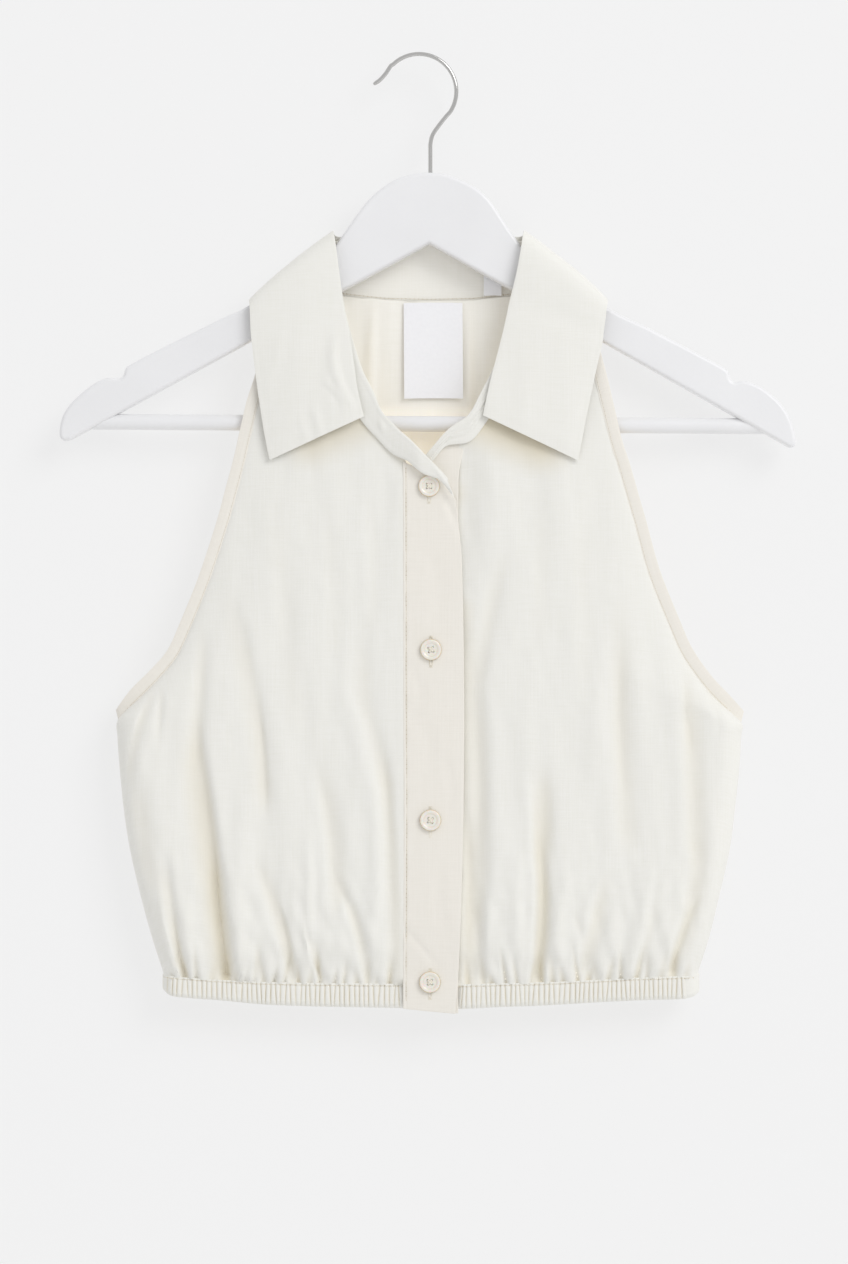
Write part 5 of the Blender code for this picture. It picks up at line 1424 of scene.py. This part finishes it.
# Buttonholes: upright slits 18.5 mm long in the placket, their edges covered in close satin stitch
# with a bar at each end. The upper end of each shows above its button, and more of the lower end.
HOLE_LENGTH = 18.5
HOLE_WIDTH = 2.5
HOLE_BELOW = 1.2
SATIN_SPACING = 0.52
SATIN_HALF = 0.25
BAR_STITCHES = 3
BUTTONS = ((6.0, -257.2), (7.1, -354.4), (6.8, -455.6), (6.5, -551.8))


def satin_threads(x, z_middle):
    """Threads down both edges of a slit and across its ends, each as x of both ends, y and z."""
    count = int(HOLE_LENGTH / SATIN_SPACING)
    for k in range(count + 1):
        z = z_middle + HOLE_LENGTH * (0.5 - k / count)
        y = float(placket_face(np.array(z))) - 0.02
        at_end = min(k, count - k) < BAR_STITCHES
        for a, b in ((-0.5, 0.5),) if at_end else ((-0.5, -0.1), (0.1, 0.5)):
            yield x + a * HOLE_WIDTH, x + b * HOLE_WIDTH, y, z


points = []
for x, z in BUTTONS:
    for x0, x1, y0, z0 in satin_threads(x, z - HOLE_BELOW):
        for share, size in ((0.0, 0.3), (0.3, 1.0), (0.7, 1.0), (1.0, 0.3)):
            wide = SATIN_HALF * size
            for ring_y, ring_z in ((0.0, -wide), (-0.2 * size, 0.0), (0.0, wide), (0.1, 0.0)):
                points.append((x0 + share * (x1 - x0), y0 + ring_y, z0 + ring_z))
buttonholes = new_piece("buttonhole_satin_stitch", np.array(points), strand_faces(len(points) // 16))
turn_outwards(buttonholes)
dress(buttonholes, (), thread)

# Buttons: turned from cream polyester resin, 12.8 mm across, with a rolled rim, a dished middle and
# four holes. The resin is a little see-through and polished, so the rim takes a small highlight.
BUTTON_DIAMETER = 12.8
BUTTON_BACK = 1.7
# Steps of the face from its side inwards: how far in, and how far up
BUTTON_PROFILE = (
    (0.2, 0.3), (0.4, 0.25), (0.6, 0.05), (0.7, -0.2), (0.5, -0.26), (0.6, -0.14),
)
HOLE_DIAMETER = 1.25
HOLE_SPACING = 2.5
HOLE_REACH = HOLE_SPACING / math.sqrt(2)
DISH_RADIUS = 4.0
BUTTON_TURNS = (0, 8, -6, 4)

resin, resin_shader = new_material(
    "cream_polyester_resin", Roughness=0.28, IOR=1.55, Coat_Weight=0.4,
    Coat_Roughness=0.12, Subsurface_Weight=0.15, Subsurface_Scale=0.001,
)
where = add_node(resin, "ShaderNodeTexCoord").outputs["Object"]
marble = add_node(
    resin, "ShaderNodeTexNoise", {"Scale": 180.0, "Detail": 3.0, "Distortion": 0.8}, {"Vector": where}
)
tone = add_node(resin, "ShaderNodeValToRGB", links={"Fac": marble.outputs["Fac"]})
tone.color_ramp.elements[0].color = linear("#EDE8DE")
tone.color_ramp.elements[1].color = linear("#F2EEE5")
bump = add_node(
    resin, "ShaderNodeBump", {"Strength": 0.05, "Distance": 0.0003}, {"Height": marble.outputs["Fac"]}
)
# Painted shade: the rim share warms the colour at the side's front edge and round the dish, for contact
# shadow and light through the resin
rim = add_node(resin, "ShaderNodeAttribute", attribute_name="rim").outputs["Fac"]
edge = add_node(resin, "ShaderNodeMix", links={0: rim, 6: tone.outputs["Color"]}, data_type="RGBA")
edge.inputs[7].default_value = linear("#D9C8A4")
join(resin, edge.outputs[2], resin_shader, "Base Color")
join(resin, bump.outputs["Normal"], resin_shader, "Normal")

deselect()
bpy.ops.mesh.primitive_cylinder_add(
    vertices=56, radius=BUTTON_DIAMETER / 2 * MM, depth=BUTTON_BACK * MM, end_fill_type="NGON",
    rotation=(math.pi / 2, 0, 0), location=(0, -BUTTON_BACK / 2 * MM, 0),
)
button = bpy.context.object
button.name = "button"
bpy.ops.object.transform_apply(location=True, rotation=True, scale=True)
bpy.ops.object.mode_set(mode="EDIT")
pick_faces(button, lambda face: face.normal.y < -FACING)
for inset, rise in BUTTON_PROFILE:
    bpy.ops.mesh.inset(thickness=inset * MM, depth=rise * MM)
pick_faces(button, lambda face: face.normal.y > FACING)
for inset in (0.3, 0.5):
    bpy.ops.mesh.inset(thickness=inset * MM)
bpy.ops.object.mode_set(mode="OBJECT")
for k in range(4):
    angle = math.pi / 4 + k * math.pi / 2
    deselect()
    bpy.ops.mesh.primitive_cylinder_add(
        vertices=20, radius=HOLE_DIAMETER / 2 * MM, depth=12 * MM, rotation=(math.pi / 2, 0, 0),
        location=(HOLE_REACH * MM * math.cos(angle), 0, HOLE_REACH * MM * math.sin(angle)),
    )
    drill = bpy.context.object
    select_only(button)
    cut = button.modifiers.new("hole", "BOOLEAN")
    cut.operation = "DIFFERENCE"
    cut.solver = "EXACT"
    cut.object = drill
    bpy.ops.object.modifier_apply(modifier="hole")
    bpy.data.objects.remove(drill, do_unlink=True)
bpy.ops.object.shade_smooth_by_angle(angle=math.radians(38))
# The rim share of painted shade: full at the side's front edge, less round the dish's edge
rim = button.data.attributes.new("rim", "FLOAT", "POINT")
for vertex, value in zip(button.data.vertices, rim.data):
    radius = math.hypot(vertex.co.x, vertex.co.z) / MM
    at_side = radius > BUTTON_DIAMETER / 2 - 0.25 and vertex.co.y < -1.6 * MM
    at_dish = abs(radius - DISH_RADIUS) < 0.1
    value.value = 1.0 if at_side else 0.3 if at_dish else 0.0

# The thread that holds a button crosses its dish from hole to hole, pulled down at both ends.
THREAD_ARCH = (
    (-1.0, -1.2), (-0.78, 0.2), (-0.3, 0.36), (0.0, 0.42), (0.3, 0.36), (0.78, 0.2), (1.0, -1.2),
)
THREAD_BUNDLE = 1.12
DISH_HEIGHT = 1.75

crosses = []
for turn in (math.pi / 4, -math.pi / 4):
    arch = [(reach * HOLE_REACH, -(DISH_HEIGHT + rise)) for reach, rise in smooth_line(THREAD_ARCH, 3)]
    route = [(out * math.cos(turn), y, out * math.sin(turn)) for out, y in arch]
    crosses.append(round_strand("button_thread", route, THREAD_BUNDLE, 2))

for number, (x, z) in enumerate(BUTTONS, start=1):
    y = float(placket_face(np.array(z))) - 0.35
    for source, name, nodes, slot, material in (
        (button, f"button_{number}_resin", f"button_{number}", "buttons", resin),
        (crosses[0], f"button_{number}_thread_a", (), "cloth", thread),
        (crosses[1], f"button_{number}_thread_b", (), "cloth", thread),
    ):
        piece = source.copy()
        piece.data = source.data.copy()
        piece.name = piece.data.name = name
        bpy.context.collection.objects.link(piece)
        turn = math.radians(BUTTON_TURNS[number - 1])
        for vertex in piece.data.vertices:
            vx, vy, vz = vertex.co
            vertex.co = (
                vx * math.cos(turn) - vz * math.sin(turn) + x * MM,
                vy + y * MM,
                vx * math.sin(turn) + vz * math.cos(turn) + z * MM,
            )
        dress(piece, nodes, material)
for source in (button, *crosses):
    bpy.data.objects.remove(source, do_unlink=True)

# Neck label and size tab: white damask tape, sewn into the back neck seam by the top edge, bare.
# The tape is dense and smooth, with a fine cross rib and a slight shine.
TAPE_WALL = 0.4
TAPE_RIB = 0.6

tape, tape_shader = new_material(
    "white_damask_tape", Roughness=0.5, IOR=1.5, Sheen_Weight=0.15, Sheen_Roughness=0.4
)
cut = add_node(tape, "ShaderNodeUVMap", uv_map="cut").outputs["UV"]
rib = add_node(
    tape, "ShaderNodeTexWave", {"Scale": WAVE_PERIOD / (TAPE_RIB * MM), "Distortion": 0.6},
    {"Vector": cut}, wave_type="BANDS", bands_direction="Y",
)
fibre = add_node(tape, "ShaderNodeTexNoise", {"Scale": 500.0, "Detail": 3.0}, {"Vector": cut})
tone = add_node(tape, "ShaderNodeValToRGB", links={"Fac": fibre.outputs["Fac"]})
tone.color_ramp.elements[0].color = linear("#F4F4F7")
tone.color_ramp.elements[1].color = linear("#FCFCFE")
bump = add_node(
    tape, "ShaderNodeBump", {"Strength": 0.3, "Distance": 0.00015}, {"Height": rib.outputs["Fac"]}
)
join(tape, tone.outputs["Color"], tape_shader, "Base Color")
join(tape, bump.outputs["Normal"], tape_shader, "Normal")


def tape_piece(name, node, left, right, top, bottom, y, curl, swing):
    """A strip of tape that hangs from its top edge and curls a little forward at its sides."""
    share, fall = np.meshgrid(np.linspace(0, 1, 30), np.linspace(0, 1, 44))
    x = left + share * (right - left) + swing * fall
    z = top + fall * (bottom - top) + 0.25 * np.sin(3 * share)
    depth = y - curl * fall * (2 * share - 1) ** 2 - 0.25 * np.sin(2.4 * fall + 1.5 * share)
    grid = np.stack((x, depth, z), axis=-1)
    piece = cloth_shell(name, grid, TAPE_WALL)
    dress(piece, node, tape)


tape_piece("neck_label_tape", "neck_label", -9.2, 26.0, -146.9, -204.2, 7.6, 0.8, 0.4)
tape_piece("size_tab_tape", "size_tab", 38.8, 49.4, -126.6, -142.6, 8.1, 0.2, 0.0)

# Studio: a white wall close behind the hanger, which glows evenly, shows from its front only and
# casts no shadow, and a pale floor. One large soft light stands high on the right in a bright room.
# Places and sizes here are in metres, and powers in watts.
WALL_BEHIND = 0.0195
FLOOR = -1.45
TOP_MIDDLE = (0, 0, -0.33)
wall_paint = bpy.data.materials.new("wall_paint")
wall_paint.use_nodes = True
wall_paint.node_tree.nodes.clear()
lit_panel = add_node(wall_paint, "ShaderNodeEmission", {"Color": linear("#FFFFFF"), "Strength": 0.655})
chalk = add_node(
    wall_paint, "ShaderNodeBsdfDiffuse", {"Color": linear("#909090"), "Roughness": 0.5}
)
front_side = add_node(
    wall_paint, "ShaderNodeAddShader", links={0: lit_panel.outputs[0], 1: chalk.outputs[0]}
)
clear = add_node(wall_paint, "ShaderNodeBsdfTransparent")
from_behind = add_node(wall_paint, "ShaderNodeNewGeometry").outputs["Backfacing"]
blocks_light = add_node(wall_paint, "ShaderNodeLightPath").outputs["Is Shadow Ray"]
unseen = add_node(
    wall_paint, "ShaderNodeMath", links={0: from_behind, 1: blocks_light}, operation="MAXIMUM"
)
one_sided = add_node(
    wall_paint, "ShaderNodeMixShader",
    links={0: unseen.outputs[0], 1: front_side.outputs[0], 2: clear.outputs[0]},
)
add_node(wall_paint, "ShaderNodeOutputMaterial", links={"Surface": one_sided.outputs[0]})
deselect()
bpy.ops.mesh.primitive_plane_add(size=6, rotation=(math.pi / 2, 0, 0), location=(0, WALL_BEHIND, 1.5))
studio_wall = bpy.context.object
studio_wall.name = "studio_wall"
studio_wall.data.materials.append(wall_paint)

floor_paint, _ = new_material("floor_paint", Base_Color=linear("#ECECEC"), Roughness=0.7)
deselect()
bpy.ops.mesh.primitive_plane_add(size=14, location=(0, 0, FLOOR))
floor = bpy.context.object
floor.name = "floor"
floor.data.materials.append(floor_paint)

room = bpy.data.worlds.new("room")
bpy.context.scene.world = room
room.use_nodes = True
background = room.node_tree.nodes["Background"]
background.inputs["Color"].default_value = linear("#FBFBFC")
background.inputs["Strength"].default_value = 0.74


def soft_light(name, place, size, power):
    """A square soft light, turned to the middle of the top."""
    light = bpy.data.lights.new(name, "AREA")
    light.shape = "SQUARE"
    light.size = size
    light.energy = power
    lamp = bpy.data.objects.new(name, light)
    lamp.location = place
    way = np.array(TOP_MIDDLE) - np.array(place)
    lamp.rotation_euler = (
        math.atan2(math.hypot(way[0], way[1]), -way[2]), 0, math.atan2(way[1], way[0]) - math.pi / 2
    )
    bpy.context.collection.objects.link(lamp)


soft_light("softbox", (2.3, -3.0, 1.9), size=2.2, power=62.0)
soft_light("back_fill", (0.6, 2.2, 0.4), size=1.6, power=3.0)

# Camera: level with the middle of the top, square on, far enough back that little is foreshortened.
CAMERA_BACK = 2600.0
VIEW_HEIGHT = 752.6
PLANE_IN_SCALE = -7.0
VIEW_CENTRE = (3.0, -343.9)
camera = bpy.data.objects.new("camera", bpy.data.cameras.new("camera"))
camera.location = (VIEW_CENTRE[0] * MM, (PLANE_IN_SCALE - CAMERA_BACK) * MM, VIEW_CENTRE[1] * MM)
camera.rotation_euler = (math.pi / 2, 0, 0)
camera.data.sensor_width = 36.0
camera.data.lens = 36.0 * CAMERA_BACK / VIEW_HEIGHT
bpy.context.collection.objects.link(camera)
bpy.context.scene.camera = camera
bpy.context.scene.view_settings.view_transform = "Standard"
